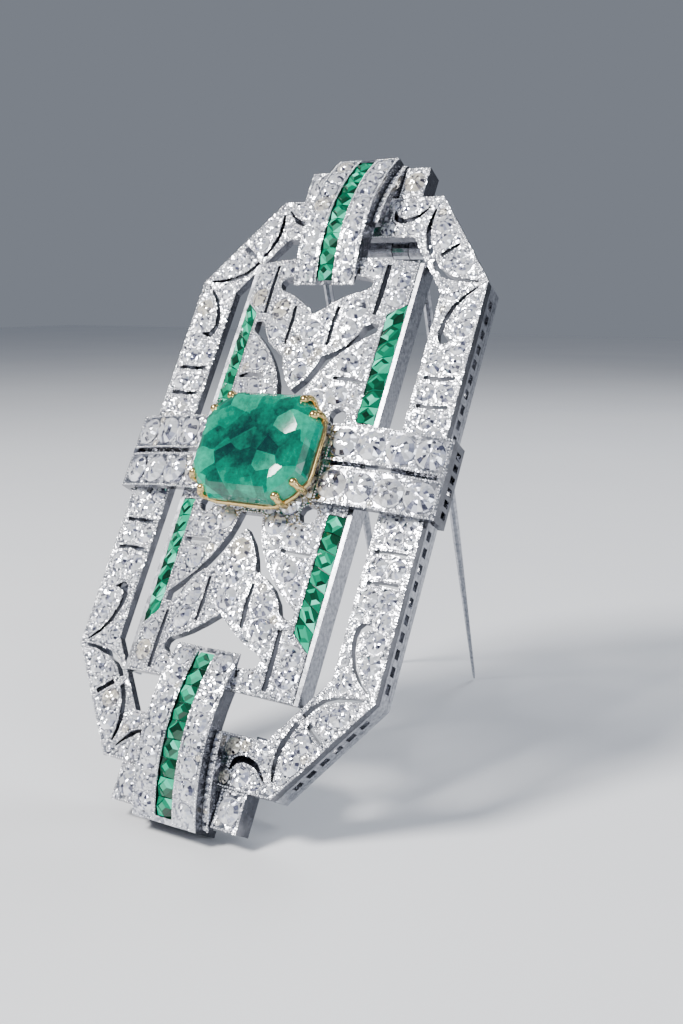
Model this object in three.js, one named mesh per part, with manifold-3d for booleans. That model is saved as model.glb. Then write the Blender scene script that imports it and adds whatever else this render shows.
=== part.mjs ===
// Plaque brooch: a pierced eight-sided frame carries a domed pierced panel, an arched strap at each end,
// two stone-set bands and a large emerald, and it stands on the open double pin hinged behind its top bar.
// Local axes of the brooch: x across, y along its length, z out of the front. Millimetres.
import * as THREE from "three";
import { mergeGeometries, mergeVertices } from "three/addons/utils/BufferGeometryUtils.js";
import Module from "manifold-3d";

const wasm = await Module();
wasm.setup();

// Overall
const frameHalfWidth = 17;
const frameHalfLength = 30.9;
const leanDeg = 31.5;
const joinGap = 0.04;

// The pattern is drawn for a frame of this size each way, and stretches with the frame.
const drawnHalfWidth = 17;
const drawnHalfLength = 30.9;
const across = frameHalfWidth / drawnHalfWidth;
const along = frameHalfLength / drawnHalfLength;

// Outer frame
const cornerX = 9.6 * across;
const cornerY = 20.9 * along;
const barInnerX = 12.3 * across;
const barInnerY = 26.1 * along;
const innerCornerX = 7.55 * across;
const innerCornerY = 19.6 * along;
const plateThick = 0.9;

// Gallery wall behind the frame, and the rails on its back
const galleryDeep = 1.5;
const galleryWall = 0.7;
const windowPitch = 1.6;
const windowWide = 0.95;
const windowHigh = 0.8;
const backRailWide = 1.5;
const backRailDeep = 0.6;
const galleryTopZ = -plateThick - joinGap;
const railFrontZ = galleryTopZ - galleryDeep - joinGap;
const railBackZ = railFrontZ - backRailDeep;

// Centre panel
const panelHalfWidth = 10 * across;
const panelHalfLength = 22.6 * along;
const panelCrest = 2;
const panelEdge = 0.6;
const panelThick = 0.9;
const railWide = 0.45;
const railDeep = 2.2;
const channelInner = 7.75 * across;
const channelFrom = 4.7 * along;
const channelTo = 17.9 * along;
const channelCutBack = 1.5 * along;
const channelDepth = 0.69;
const channelStones = 5;
const channelStoneRise = 1;
const channelStoneBevel = 0.3;

// Straps over the two ends; the arch flattens as it lengthens, so its rise stays
const strapHalfWidth = 3.6 * across;
const strapInnerY = 19.2 * along;
const strapOuterY = 35.3 * along;
const strapCrestY = 26 * along;
const strapCrest = 3.35;
const strapRadius = 18 * along * along;
const strapThick = 0.8;
const strapGrooveShare = 0.6;
const strapWallWide = 0.6;
const strapWallDeep = 1.9;
const strapChannel = 1.9 * across;
const strapChannelEnd = 0.5;
const strapStones = 9;
const strapStoneBevel = 0.35;
const strapStoneRise = 0.25;

// Shoulders beside a strap and the stepped blocks outside them
const shoulderWide = 0.7 * across;
const shoulderFromY = 26.4 * along;
const shoulderToY = 34.9 * along;
const shoulderRise = 2.3;
const shoulderThick = 0.8;
const stepOuterX = 7.15 * across;
const stepToY = 34.5 * along;
const stepDeep = 2.2;
const stepSeatDia = 1.1;

// Centre emerald and its gold basket
const emeraldLong = 13;
const emeraldTall = 11.2;
const emeraldCut = 2.9;
const emeraldGirdleZ = 4.4;
const emeraldGirdle = 0.3;
const emeraldCrown = 1.7;
const emeraldPavilion = 3.2;
const basketWire = 0.65;
const basketLowZ = 2.2;
const basketHighZ = 3.35;
const basketLowShare = 0.8;
const basketHighShare = 0.97;
const backOpening = 0.66;
const clawDia = 1;
const clawBallDia = 1.35;
const clawSpread = 0.8;
const clawOut = 0.42;

// Bands across the middle
const bandHalfHeight = 4;
const bandSlit = 0.5;
const bandInnerX = emeraldLong / 2 - 0.35;
const bandOuterX = frameHalfWidth + 1.2;
const bandAbovePanel = 0.83;
const bandInnerZ =
  panelCrest - (panelCrest - panelEdge) * (bandInnerX / panelHalfWidth) ** 2 + bandAbovePanel;
const bandOuterZ = 0.55;
const bandThick = 0.85;
const bandWallDeep = 2.1;
const bandWallThick = 0.6;
const bandWindows = 6;
const bandWindowWide = 0.7;
const bandWindowHigh = 0.95;
const bandStonesPerRow = 4;
const bandStoneEnd = 0.3;
const bandStonePitch = (bandOuterX - bandInnerX - 2 * bandStoneEnd) / bandStonesPerRow;
const bandStoneDia = 0.98 * bandStonePitch;
const bandStoneRise = 0.62;
const bandStoneSeat = 0.32;

// Pin with its hinge
const pinSpread = 6.1 * across;
const pinWire = 1;
const pinTipDia = 0.35;
const hingeDia = 2.2;
const rivetDia = 0.8;
const rivetPlay = 0.06;
const knuckleWide = 1.8;
const barrelGap = 0.12;
const bowWide = 0.9;
const bridgeHalf = 8.2 * across;
const bridgeThick = 0.7;
const barMiddleY = (barInnerY + frameHalfLength) / 2;
const hingeY = barMiddleY - 1.1;
const hingeZ = railBackZ - hingeDia / 2 - 0.12;

// Catch and safety flap
const catchFromY = -barMiddleY + 2.1;
const catchToY = catchFromY + 0.8;
const catchWide = 3.4 * across;
const catchLowZ = hingeZ - 1.3;
const notchWide = 0.8;
const pinLength = hingeY - catchToY + 1.8;
const flapAxisY = -barMiddleY - 0.1;
const flapAxisZ = hingeZ - 0.8;
const flapBarrelDia = 1.6;
const flapEarHalf = 1.2;
const flapBarrelTo = 2.5;
const flapBarY = -barMiddleY + 1.5;
const flapBarWide = 0.8;
const flapThick = 0.6;
const flapOpenDeg = 100;
const roundSides = 16;
const smallSides = 12;

const metal = { color: 0xd5d6da, roughness: 0.22, metalness: 1 };
const gold = { color: 0xc79a4b, roughness: 0.25, metalness: 1 };
const emeraldGreen = { color: 0x0b8f5c, roughness: 0.05, metalness: 0 };
const diamondWhite = { color: 0xeef2f8, roughness: 0.02, metalness: 0 };

// ---- solids -------------------------------------------------------------

function toSolid(geometry) {
  const bare = geometry.clone();
  bare.deleteAttribute("normal");
  bare.deleteAttribute("uv");
  const merged = mergeVertices(bare, 1e-4);
  return new wasm.Manifold(
    new wasm.Mesh({
      numProp: 3,
      vertProperties: new Float32Array(merged.attributes.position.array),
      triVerts: new Uint32Array(merged.index.array),
    }),
  );
}

function toGeometry(solid) {
  const made = solid.getMesh();
  const stride = made.numProp;
  const positions = new Float32Array(made.numVert * 3);
  for (let i = 0; i < made.numVert; i += 1) {
    positions.set(made.vertProperties.subarray(i * stride, i * stride + 3), i * 3);
  }
  const geometry = new THREE.BufferGeometry();
  geometry.setAttribute("position", new THREE.BufferAttribute(positions, 3));
  geometry.setIndex(new THREE.BufferAttribute(made.triVerts, 1));
  const flat = geometry.toNonIndexed();
  flat.computeVertexNormals();
  return flat;
}

function pathOf(points) {
  return points.map(([x, y]) => new THREE.Vector2(x, y));
}

function prism(outline, lowZ, highZ, holes = []) {
  const shape = new THREE.Shape(pathOf(outline));
  holes.forEach((hole) => shape.holes.push(new THREE.Path(pathOf(hole))));
  const geometry = new THREE.ExtrudeGeometry(shape, { depth: highZ - lowZ, bevelEnabled: false });
  geometry.translate(0, 0, lowZ);
  return toSolid(geometry);
}

// Outline in the y-z plane, extruded along x.
function prismAlongX(outline, lowX, highX) {
  const shape = new THREE.Shape(pathOf(outline));
  const geometry = new THREE.ExtrudeGeometry(shape, { depth: highX - lowX, bevelEnabled: false });
  geometry.rotateY(Math.PI / 2);
  geometry.rotateX(Math.PI / 2);
  geometry.translate(lowX, 0, 0);
  return toSolid(geometry);
}

// Outline in the x-z plane, extruded along y.
function prismAlongY(outline, lowY, highY) {
  const shape = new THREE.Shape(pathOf(outline));
  const geometry = new THREE.ExtrudeGeometry(shape, { depth: highY - lowY, bevelEnabled: false });
  geometry.rotateX(Math.PI / 2);
  geometry.translate(0, highY, 0);
  return toSolid(geometry);
}

function block(lowX, highX, lowY, highY, lowZ, highZ) {
  const geometry = new THREE.BoxGeometry(highX - lowX, highY - lowY, highZ - lowZ);
  geometry.translate((lowX + highX) / 2, (lowY + highY) / 2, (lowZ + highZ) / 2);
  return toSolid(geometry);
}

function rodAlongX(dia, lowX, highX, y, z, sides = roundSides) {
  const geometry = new THREE.CylinderGeometry(dia / 2, dia / 2, highX - lowX, sides);
  geometry.rotateZ(Math.PI / 2);
  geometry.translate((lowX + highX) / 2, y, z);
  return toSolid(geometry);
}

function joined(solids) {
  return solids.reduce((all, one) => all.add(one));
}

function withoutEach(solid, tools) {
  return tools.reduce((rest, tool) => rest.subtract(tool), solid);
}

// ---- flat outlines ------------------------------------------------------

function octagon(halfX, halfY, flatX, flatY) {
  return [
    [flatX, halfY],
    [-flatX, halfY],
    [-halfX, flatY],
    [-halfX, -flatY],
    [-flatX, -halfY],
    [flatX, -halfY],
    [halfX, -flatY],
    [halfX, flatY],
  ];
}

function mirrored(points, signX, signY) {
  const turned = points.map(([x, y]) => [x * signX, y * signY]);
  return signX * signY < 0 ? turned.reverse() : turned;
}

function inEachQuarter(outlines) {
  const quarters = [
    [1, 1],
    [-1, 1],
    [-1, -1],
    [1, -1],
  ];
  return quarters.flatMap(([sx, sy]) => outlines.map((outline) => mirrored(outline, sx, sy)));
}

function inEachHalf(outlines) {
  return [1, -1].flatMap((side) => outlines.map((outline) => mirrored(outline, 1, side)));
}

// A slit along a smooth line, as wide at each given point as its third value.
function slit(stations, steps) {
  const line = new THREE.CatmullRomCurve3(
    stretched(stations).map(([x, y, wide]) => new THREE.Vector3(x, y, wide)),
    false,
    "centripetal",
  );
  const left = [];
  const right = [];
  for (let i = 0; i <= steps; i += 1) {
    const at = line.getPoint(i / steps);
    const ahead = line.getTangent(i / steps);
    const length = Math.hypot(ahead.x, ahead.y);
    const sideX = ((-ahead.y / length) * at.z) / 2;
    const sideY = ((ahead.x / length) * at.z) / 2;
    left.push([at.x + sideX, at.y + sideY]);
    right.unshift([at.x - sideX, at.y - sideY]);
  }
  return anticlockwise([...left, ...right]);
}

// A scroll between two smooth lines that nearly meet at both ends.
function crescent(outerLine, innerLine) {
  const steps = 8;
  const outer = smooth(stretched(outerLine), steps);
  const inner = smooth(stretched(innerLine), steps);
  return anticlockwise([...outer, ...inner.reverse()]);
}

function anticlockwise(points) {
  const area = points.reduce((sum, [x, y], i) => {
    const [nextX, nextY] = points[(i + 1) % points.length];
    return sum + x * nextY - nextX * y;
  }, 0);
  return area < 0 ? [...points].reverse() : points;
}

function smooth(points, steps) {
  const line = new THREE.CatmullRomCurve3(
    points.map(([x, y]) => new THREE.Vector3(x, y, 0)),
    false,
    "centripetal",
  );
  return line.getPoints(steps).map((p) => [p.x, p.y]);
}

function circle(centreX, centreY, radius, sides) {
  return Array.from({ length: sides }, (_, i) => {
    const turn = (i / sides) * 2 * Math.PI;
    return [centreX + radius * Math.cos(turn), centreY + radius * Math.sin(turn)];
  });
}

// ---- surfaces -----------------------------------------------------------

// Height of the domed panel's front at x.
function panelFrontZ(x) {
  const share = Math.abs(x) / panelHalfWidth;
  return panelCrest - (panelCrest - panelEdge) * share * share;
}

// Height of a strap's front at its distance y from the middle of the brooch.
function strapFrontZ(y) {
  const along = Math.abs(y) - strapCrestY;
  return strapCrest - strapRadius + Math.sqrt(strapRadius * strapRadius - along * along);
}

// Height of a band's front at x.
function bandFrontZ(x) {
  const share = (Math.abs(x) - bandInnerX) / (bandOuterX - bandInnerX);
  return bandInnerZ - (bandInnerZ - bandOuterZ) * share * share;
}

// A plate of even thickness under front height heightAt, from low to high along its run.
function curvedSection(low, high, thick, steps, heightAt) {
  const top = [];
  const under = [];
  for (let i = 0; i <= steps; i += 1) {
    const at = low + ((high - low) * i) / steps;
    top.unshift([at, heightAt(at)]);
    under.push([at, heightAt(at) - thick]);
  }
  return [...under, ...top];
}

// A pattern outline stretched to the frame's own size.
function stretched(points) {
  return points.map(([x, y, ...rest]) => [x * across, y * along, ...rest]);
}

// ---- outer frame --------------------------------------------------------

function frameSlits() {
  const transverse = [7.3, 10.3].map((y) => {
    const bowed = y + 0.1;
    return slit([[12.95, bowed, 0.45], [14.6, y, 0.4], [16.3, bowed, 0.45]], 2);
  });
  const sideScroll = crescent(
    [
      [16.1, 20.4],
      [14.2, 18.7],
      [13.2, 16.2],
      [13.25, 14.6],
      [13.9, 13.95],
      [15.0, 14.5],
    ],
    [
      [16.15, 20.25],
      [14.55, 18.4],
      [13.75, 16.2],
      [13.8, 15.15],
      [14.2, 14.75],
      [15.0, 14.62],
    ],
  );
  const cornerArcOuter = slit([[9.2, 29.4, 0.2], [8.95, 27.6, 0.5], [9.3, 25.6, 0.55], [10.1, 24, 0.45]], 5);
  const innerArcStations = [
    [10.5, 23.3, 0.45],
    [11.7, 21.9, 0.55],
    [13.4, 21.2, 0.5],
    [16, 20.9, 0.2],
  ];
  const cornerArcInner = slit(innerArcStations, 5);
  const spoke = slit([[11.2, 23.9, 0.5], [12.9, 25.2, 0.45]], 1);
  const endScroll = crescent(
    [
      [8.6, 29.7],
      [7.3, 28.2],
      [5.8, 27.75],
      [4.7, 28.2],
      [4.5, 29.2],
    ],
    [
      [8.5, 29.8],
      [7.2, 28.7],
      [5.9, 28.35],
      [5.15, 28.6],
      [4.62, 29.25],
    ],
  );
  return inEachQuarter([...transverse, sideScroll, cornerArcOuter, cornerArcInner, spoke, endScroll]);
}

function frameOutline() {
  return octagon(frameHalfWidth, frameHalfLength, cornerX, cornerY);
}

function frameOpening() {
  return octagon(barInnerX, barInnerY, innerCornerX, innerCornerY);
}

function outerFrame() {
  return prism(frameOutline(), -plateThick, 0, [frameOpening(), ...frameSlits()]);
}

// The frame's outline brought in evenly by a distance.
function frameInset(by) {
  const slopeX = frameHalfWidth - cornerX;
  const slopeY = frameHalfLength - cornerY;
  const slope = Math.hypot(slopeX, slopeY);
  const shiftX = (by * (slope - slopeX)) / slopeY;
  const shiftY = (by * (slope - slopeY)) / slopeX;
  return octagon(frameHalfWidth - by, frameHalfLength - by, cornerX - shiftX, cornerY - shiftY);
}

// Windows in a row through each side of the gallery wall, as one set of cutting blocks.
function galleryWindows() {
  const corners = frameInset(galleryWall / 2);
  const middleZ = galleryTopZ - galleryDeep / 2;
  const blocks = [];
  corners.forEach(([fromX, fromY], i) => {
    const [toX, toY] = corners[(i + 1) % corners.length];
    const length = Math.hypot(toX - fromX, toY - fromY);
    const count = Math.floor((length - windowWide) / windowPitch);
    for (let k = 0; k < count; k += 1) {
      const share = 0.5 + ((k - (count - 1) / 2) * windowPitch) / length;
      const cutter = new THREE.BoxGeometry(windowWide, galleryWall * 2, windowHigh);
      cutter.rotateZ(Math.atan2(toY - fromY, toX - fromX));
      cutter.translate(fromX + (toX - fromX) * share, fromY + (toY - fromY) * share, middleZ);
      blocks.push(cutter);
    }
  });
  return toSolid(mergeGeometries(blocks));
}

function outerGallery() {
  const wall = prism(frameOutline(), galleryTopZ - galleryDeep, galleryTopZ, [frameInset(galleryWall)]);
  return wall.subtract(galleryWindows());
}

// Flat rail round one side of the back; the hinge and catch plates lie between the two rails' ends.
function backRail(side) {
  const ring = prism(frameOutline(), railBackZ, railFrontZ, [frameInset(backRailWide)]);
  const half = block(
    bridgeHalf + 2 * joinGap,
    frameHalfWidth + 1,
    -frameHalfLength - 1,
    frameHalfLength + 1,
    railBackZ - 1,
    railFrontZ + 1,
  );
  return mirroredSolid(ring.intersect(half), side, 1);
}

// ---- centre panel -------------------------------------------------------

// The opening under a strap's inner end: a V with a rounded lobe at each side.
function heartOpening() {
  const right = smooth(
    stretched([
      [0, 15.9],
      [2.4, 17.7],
      [4.2, 18.6],
      [5.3, 19.1],
      [5.45, 19.8],
      [4.9, 20.3],
      [3.4, 20.5],
    ]),
    9,
  );
  const left = right.map(([x, y]) => [-x, y]).reverse();
  return anticlockwise([...right, ...left.slice(0, -1)]);
}

// The ribbon-like opening from the top of a side channel down to the middle, round the leaf's tip.
function ribbonOpening() {
  const outerSide = smooth(
    stretched([
      [1.25, 5.75],
      [1.9, 8.2],
      [3.5, 10.9],
      [5.4, 12.9],
      [7.3, 14.4],
    ]),
    8,
  );
  const innerSide = smooth(
    stretched([
      [7.3, 15.3],
      [6.1, 15.2],
      [5.5, 13.9],
      [4.0, 12.1],
      [2.35, 11.3],
      [1.6, 9.3],
      [0, 7.35],
    ]),
    9,
  );
  const right = [...outerSide, ...innerSide];
  const left = right.slice(0, -1).map(([x, y]) => [-x, y]).reverse();
  return anticlockwise([...right, ...left]);
}

function panelHoles() {
  const outerSlit = slit([[6.5, 16.3, 0.45], [6.6, 19.2, 0.55], [6.6, 22, 0.45]], 2);
  const innerSlit = slit([[2.5, 12.5, 0.35], [2.45, 15, 0.5], [2.6, 16.9, 0.4]], 2);
  const petalSlit = slit([[4.2, 9.0, 0.35], [5.8, 9.1, 0.55], [7.3, 8.95, 0.35]], 3);
  const besideStone = stretched(circle(5.9, 5.1, 0.9, 10));
  const quarters = inEachQuarter([outerSlit, innerSlit, petalSlit, besideStone]);
  const behindStone = flatCutCorner(backOpening);
  return [...quarters, ...inEachHalf([heartOpening(), ribbonOpening()]), behindStone];
}

// A side channel's floor space, cut to a slanted point at its outer end.
function channelOutline(inset) {
  const inner = channelInner + inset;
  const outer = panelHalfWidth - railWide - inset;
  return [
    [inner, channelFrom + inset],
    [outer, channelFrom + inset],
    [outer, channelTo - inset],
    [inner, channelTo - channelCutBack - inset],
  ];
}

function channelCutters() {
  const floor = panelEdge - channelDepth;
  return inEachQuarter([channelOutline(0)]).map((outline) => prism(outline, floor, panelCrest + 1));
}

function centrePanel() {
  const half = panelHalfWidth - railWide - joinGap;
  const outline = [
    [half, panelHalfLength],
    [-half, panelHalfLength],
    [-half, -panelHalfLength],
    [half, -panelHalfLength],
  ];
  const blank = prism(outline, -2, panelCrest + 1, panelHoles());
  const dome = prismAlongY(
    curvedSection(-half, half, panelThick, 10, panelFrontZ),
    -panelHalfLength - 1,
    panelHalfLength + 1,
  );
  return withoutEach(blank.intersect(dome), channelCutters());
}

function panelRail(side) {
  const outline = [
    [side * (panelHalfWidth - railWide), -panelHalfLength],
    [side * panelHalfWidth, -panelHalfLength],
    [side * panelHalfWidth, panelHalfLength],
    [side * (panelHalfWidth - railWide), panelHalfLength],
  ];
  const rail = prism(anticlockwise(outline), panelEdge - railDeep, panelEdge + 0.05);
  return rail.subtract(frameBarsUnder());
}

// Room for the frame where the panel's corners come down on it.
function frameBarsUnder() {
  const clear = joinGap;
  const outline = octagon(frameHalfWidth + 1, frameHalfLength + 1, cornerX + 1, cornerY + 1);
  const opening = octagon(barInnerX - clear, barInnerY - clear, innerCornerX - clear, innerCornerY - clear);
  return prism(outline, -plateThick - galleryDeep - 2, clear, [opening]);
}

// Square-cut emeralds of one side channel, set touching in a row.
function sideEmeralds(signX, signY) {
  const low = panelEdge - channelDepth + joinGap;
  const edgeZ = low + channelStoneRise * 0.45;
  const topZ = low + channelStoneRise;
  const inner = channelInner + joinGap;
  const outer = panelHalfWidth - railWide - joinGap;
  const roof = [
    [inner, low],
    [outer, low],
    [outer, edgeZ],
    [(inner + outer) / 2, low + channelStoneRise * 0.95],
    [inner, low + channelStoneRise * 0.8],
  ];
  const pitch = (channelTo - channelFrom) / channelStones;
  const stones = Array.from({ length: channelStones }, (_, i) => {
    const from = channelFrom + pitch * i;
    const to = from + pitch;
    const ends = [
      [from, low],
      [to, low],
      [to, edgeZ],
      [to - channelStoneBevel, topZ],
      [from + channelStoneBevel, topZ],
      [from, edgeZ],
    ];
    return prismAlongY(roof, from, to).intersect(prismAlongX(ends, inner - 1, outer + 1));
  });
  const row = joined(stones).intersect(prism(channelOutline(joinGap), low, topZ));
  return mirroredSolid(row, signX, signY);
}

function mirroredSolid(solid, signX, signY) {
  let made = solid;
  if (signX < 0) {
    made = made.mirror([1, 0, 0]);
  }
  if (signY < 0) {
    made = made.mirror([0, 1, 0]);
  }
  return made;
}

// ---- straps, shoulders and steps ---------------------------------------

// Everything behind a strap's plate is open, between its two side walls.
function strap(signY) {
  const arch = prismAlongX(
    curvedSection(strapInnerY, strapOuterY, strapThick, 12, strapFrontZ),
    -strapHalfWidth,
    strapHalfWidth,
  );
  const skirt = curvedSection(strapInnerY, strapOuterY, strapWallDeep, 12, strapFrontZ);
  const walls = [-strapHalfWidth, strapHalfWidth - strapWallWide].map((lowX) =>
    prismAlongX(skirt, lowX, lowX + strapWallWide),
  );
  const endWall = block(
    -strapHalfWidth,
    strapHalfWidth,
    strapOuterY - strapWallWide,
    strapOuterY,
    -plateThick - galleryDeep,
    strapFrontZ(strapOuterY) - strapThick / 2,
  );
  const fromY = strapInnerY + strapChannelEnd;
  const toY = strapOuterY - strapChannelEnd;
  const grooveDeep = strapThick * strapGrooveShare;
  const groove = prismAlongX(
    curvedSection(fromY, toY, grooveDeep + strapStoneRise, 12, (y) => strapFrontZ(y) + strapStoneRise),
    -strapChannel / 2,
    strapChannel / 2,
  );
  const whole = joined([arch, ...walls, endWall]).subtract(groove);
  const cleared = whole.subtract(frameBlock()).subtract(panelTopBlock());
  return mirroredSolid(cleared, 1, signY);
}

// The room a strap leaves for the frame's end bar.
function frameBlock() {
  const c = joinGap;
  return block(-stepOuterX - c, stepOuterX + c, barInnerY - c, frameHalfLength + c, -6, c);
}

// The room a strap's walls leave for the panel end that runs under it.
function panelTopBlock() {
  const c = joinGap;
  const half = strapHalfWidth + 1;
  return block(-half, half, strapInnerY - 1, panelHalfLength + c, -3, panelCrest + c);
}

function strapEmeralds(signY) {
  const from = strapInnerY + strapChannelEnd + joinGap;
  const to = strapOuterY - strapChannelEnd - joinGap;
  const half = strapChannel / 2 - joinGap;
  const row = prismAlongX(curvedSection(from, to, strapThick * 0.5, 12, strapFrontZ), -half, half);
  const pitch = (to - from) / strapStones;
  const crowns = Array.from({ length: strapStones }, (_, i) => {
    const low = from + pitch * i;
    const high = low + pitch;
    const tableLow = low + strapStoneBevel;
    const tableHigh = high - strapStoneBevel;
    const outline = [
      [low, strapFrontZ(low) - 0.2],
      [high, strapFrontZ(high) - 0.2],
      [tableHigh, strapFrontZ(tableHigh) + strapStoneRise],
      [tableLow, strapFrontZ(tableLow) + strapStoneRise],
    ];
    return prismAlongX(outline, -half + strapStoneRise, half - strapStoneRise);
  });
  return mirroredSolid(joined([row, ...crowns]), 1, signY);
}

function shoulderFrontZ(y) {
  return strapFrontZ(y) - strapCrest + shoulderRise;
}

function shoulder(signX, signY) {
  const low = strapHalfWidth + joinGap;
  const high = low + shoulderWide;
  const plate = prismAlongX(
    curvedSection(shoulderFromY, shoulderToY, shoulderThick, 8, shoulderFrontZ),
    low,
    high,
  );
  const foot = block(low, high, frameHalfLength + joinGap, stepToY, -stepDeep, 0.3);
  const cleared = joined([plate, foot]).subtract(frameBlock());
  return mirroredSolid(cleared, signX, signY);
}

function stepBlock(signX, signY) {
  const low = strapHalfWidth + shoulderWide + 2 * joinGap;
  const outline = [
    [low, frameHalfLength + joinGap],
    [stepOuterX, frameHalfLength + joinGap],
    [stepOuterX, stepToY],
    [low, stepToY],
  ];
  const middleX = (low + stepOuterX) / 2;
  const middleY = (frameHalfLength + stepToY) / 2;
  const plate = prism(outline, -stepDeep, 0);
  const seat = prism(circle(middleX, middleY, stepSeatDia / 2, 8), -stepDeep - 1, 1);
  return mirroredSolid(plate.subtract(seat), signX, signY);
}

// ---- bands --------------------------------------------------------------

function bandStoneX(i) {
  return bandInnerX + bandStoneEnd + bandStonePitch * (i + 0.5);
}

function bandRowY() {
  return (bandHalfHeight + bandSlit / 2) / 2;
}

function bandTilt(x) {
  const span = 0.5;
  return Math.atan2(bandFrontZ(x + span) - bandFrontZ(x - span), 2 * span);
}

function band(side) {
  const section = curvedSection(bandInnerX, bandOuterX, bandThick, 8, bandFrontZ);
  const plate = prismAlongY(section, -bandHalfHeight, bandHalfHeight);
  const slot = block(bandInnerX + 0.9, bandOuterX - 0.7, -bandSlit / 2, bandSlit / 2, -3, 5);
  const endWall = block(
    bandOuterX - bandWallThick,
    bandOuterX,
    -bandHalfHeight,
    bandHalfHeight,
    bandOuterZ - bandThick / 2 - bandWallDeep,
    bandOuterZ - bandThick / 2,
  );
  const wallTopZ = bandOuterZ - bandThick;
  const pitch = (2 * bandHalfHeight - 1) / bandWindows;
  const windows = Array.from({ length: bandWindows }, (_, i) => {
    const y = pitch * (i - (bandWindows - 1) / 2);
    const halfWide = bandWindowWide / 2;
    const lowZ = wallTopZ - 0.25 - bandWindowHigh;
    return block(bandOuterX - 2, bandOuterX + 1, y - halfWide, y + halfWide, lowZ, wallTopZ - 0.25);
  });
  const seats = [];
  for (let i = 0; i < bandStonesPerRow; i += 1) {
    const x = bandStoneX(i);
    [-1, 1].forEach((row) => seats.push(stoneSeat(x, row * bandRowY())));
  }
  const c = joinGap;
  const frameSide = block(barInnerX - c, frameHalfWidth + c, -bandHalfHeight - 1, bandHalfHeight + 1, -4, c);
  const panelSide = prismAlongY(
    curvedSection(0, panelHalfWidth + c, 3, 8, (x) => panelFrontZ(x) + c),
    -bandHalfHeight - 1,
    bandHalfHeight + 1,
  );
  const whole = withoutEach(joined([plate, endWall]), [slot, ...windows, ...seats, frameSide, panelSide]);
  return mirroredSolid(whole, side, 1);
}

function stoneSeat(x, y) {
  const radius = bandStoneDia / 2 + joinGap;
  const deep = 0.9;
  const cutter = new THREE.CylinderGeometry(radius, radius, deep, 8);
  cutter.rotateX(Math.PI / 2);
  cutter.rotateZ(Math.PI / 8);
  cutter.translate(0, 0, deep / 2 - bandStoneSeat);
  cutter.rotateY(-bandTilt(x));
  cutter.translate(x, y, bandFrontZ(x));
  return toSolid(cutter);
}

// An old-cut diamond: table, crown and shallow pavilion, eight-sided, sunk into its band.
function bandDiamond(side, row, i) {
  const radius = bandStoneDia / 2;
  const lowZ = joinGap - bandStoneSeat + 0.02;
  const profile = [
    [0, lowZ],
    [radius * 0.7, lowZ],
    [radius, 0],
    [radius, 0.1],
    [radius * 0.56, bandStoneRise],
    [0, bandStoneRise],
  ];
  const stone = new THREE.LatheGeometry(pathOf(profile), 8);
  stone.rotateX(Math.PI / 2);
  stone.rotateZ(Math.PI / 8);
  const x = bandStoneX(i);
  stone.rotateY(-bandTilt(x));
  stone.translate(x, row * bandRowY(), bandFrontZ(x));
  return mirroredSolid(toSolid(stone), side, 1);
}

// ---- centre emerald, basket and claws ----------------------------------

function cutCorner(scale, z) {
  const halfX = (emeraldLong / 2) * scale;
  const halfY = (emeraldTall / 2) * scale;
  const cut = emeraldCut * scale;
  return octagon(halfX, halfY, halfX - cut, halfY - cut).map(([x, y]) => [x, y, z]);
}

function flatCutCorner(scale) {
  return cutCorner(scale, 0).map(([x, y]) => [x, y]);
}

// Skin through rings of equal count, closed at both ends.
function ringsSolid(rings) {
  const count = rings[0].length;
  const points = rings.flat();
  const faces = [];
  for (let r = 0; r < rings.length - 1; r += 1) {
    for (let i = 0; i < count; i += 1) {
      const a = r * count + i;
      const b = r * count + ((i + 1) % count);
      faces.push([a, b, b + count], [a, b + count, a + count]);
    }
  }
  const last = (rings.length - 1) * count;
  for (let i = 1; i < count - 1; i += 1) {
    faces.push([0, i + 1, i], [last, last + i, last + i + 1]);
  }
  const geometry = new THREE.BufferGeometry();
  geometry.setAttribute("position", new THREE.Float32BufferAttribute(points.flat(), 3));
  geometry.setIndex(faces.flat());
  return toSolid(geometry);
}

function centreEmerald() {
  const g = emeraldGirdleZ;
  return ringsSolid([
    cutCorner(0.34, g - emeraldPavilion),
    cutCorner(0.74, g - emeraldPavilion * 0.55),
    cutCorner(1, g - emeraldGirdle / 2),
    cutCorner(1, g + emeraldGirdle / 2),
    cutCorner(0.9, g + emeraldCrown * 0.55),
    cutCorner(0.72, g + emeraldCrown),
  ]);
}

function basketRing(low, high, scale) {
  return prism(flatCutCorner(scale + 0.03), low, high, [flatCutCorner(scale - 0.07)]);
}

// Four double corners: each point is where a claw stands.
function clawFeet() {
  const halfX = emeraldLong / 2 - emeraldCut / 2 + clawOut;
  const halfY = emeraldTall / 2 - emeraldCut / 2 + clawOut;
  const feet = [];
  [1, -1].forEach((sx) =>
    [1, -1].forEach((sy) =>
      [1, -1].forEach((k) => {
        feet.push([sx * (halfX + k * clawSpread), sy * (halfY - k * clawSpread), sx, sy]);
      }),
    ),
  );
  return feet;
}

function clawPost(x, y, dia, low, high) {
  const post = new THREE.CylinderGeometry(dia / 2, dia / 2, high - low, 8);
  post.rotateX(Math.PI / 2);
  post.translate(x, y, (low + high) / 2);
  return toSolid(post);
}

function rodBetween(from, to, dia, sides) {
  const start = new THREE.Vector3(...from);
  const end = new THREE.Vector3(...to);
  const rod = new THREE.CylinderGeometry(dia / 2, dia / 2, start.distanceTo(end), sides);
  const upright = new THREE.Vector3(0, 1, 0);
  const aim = end.clone().sub(start).normalize();
  rod.applyQuaternion(new THREE.Quaternion().setFromUnitVectors(upright, aim));
  rod.translate(...start.add(end).multiplyScalar(0.5).toArray());
  return toSolid(rod);
}

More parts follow.
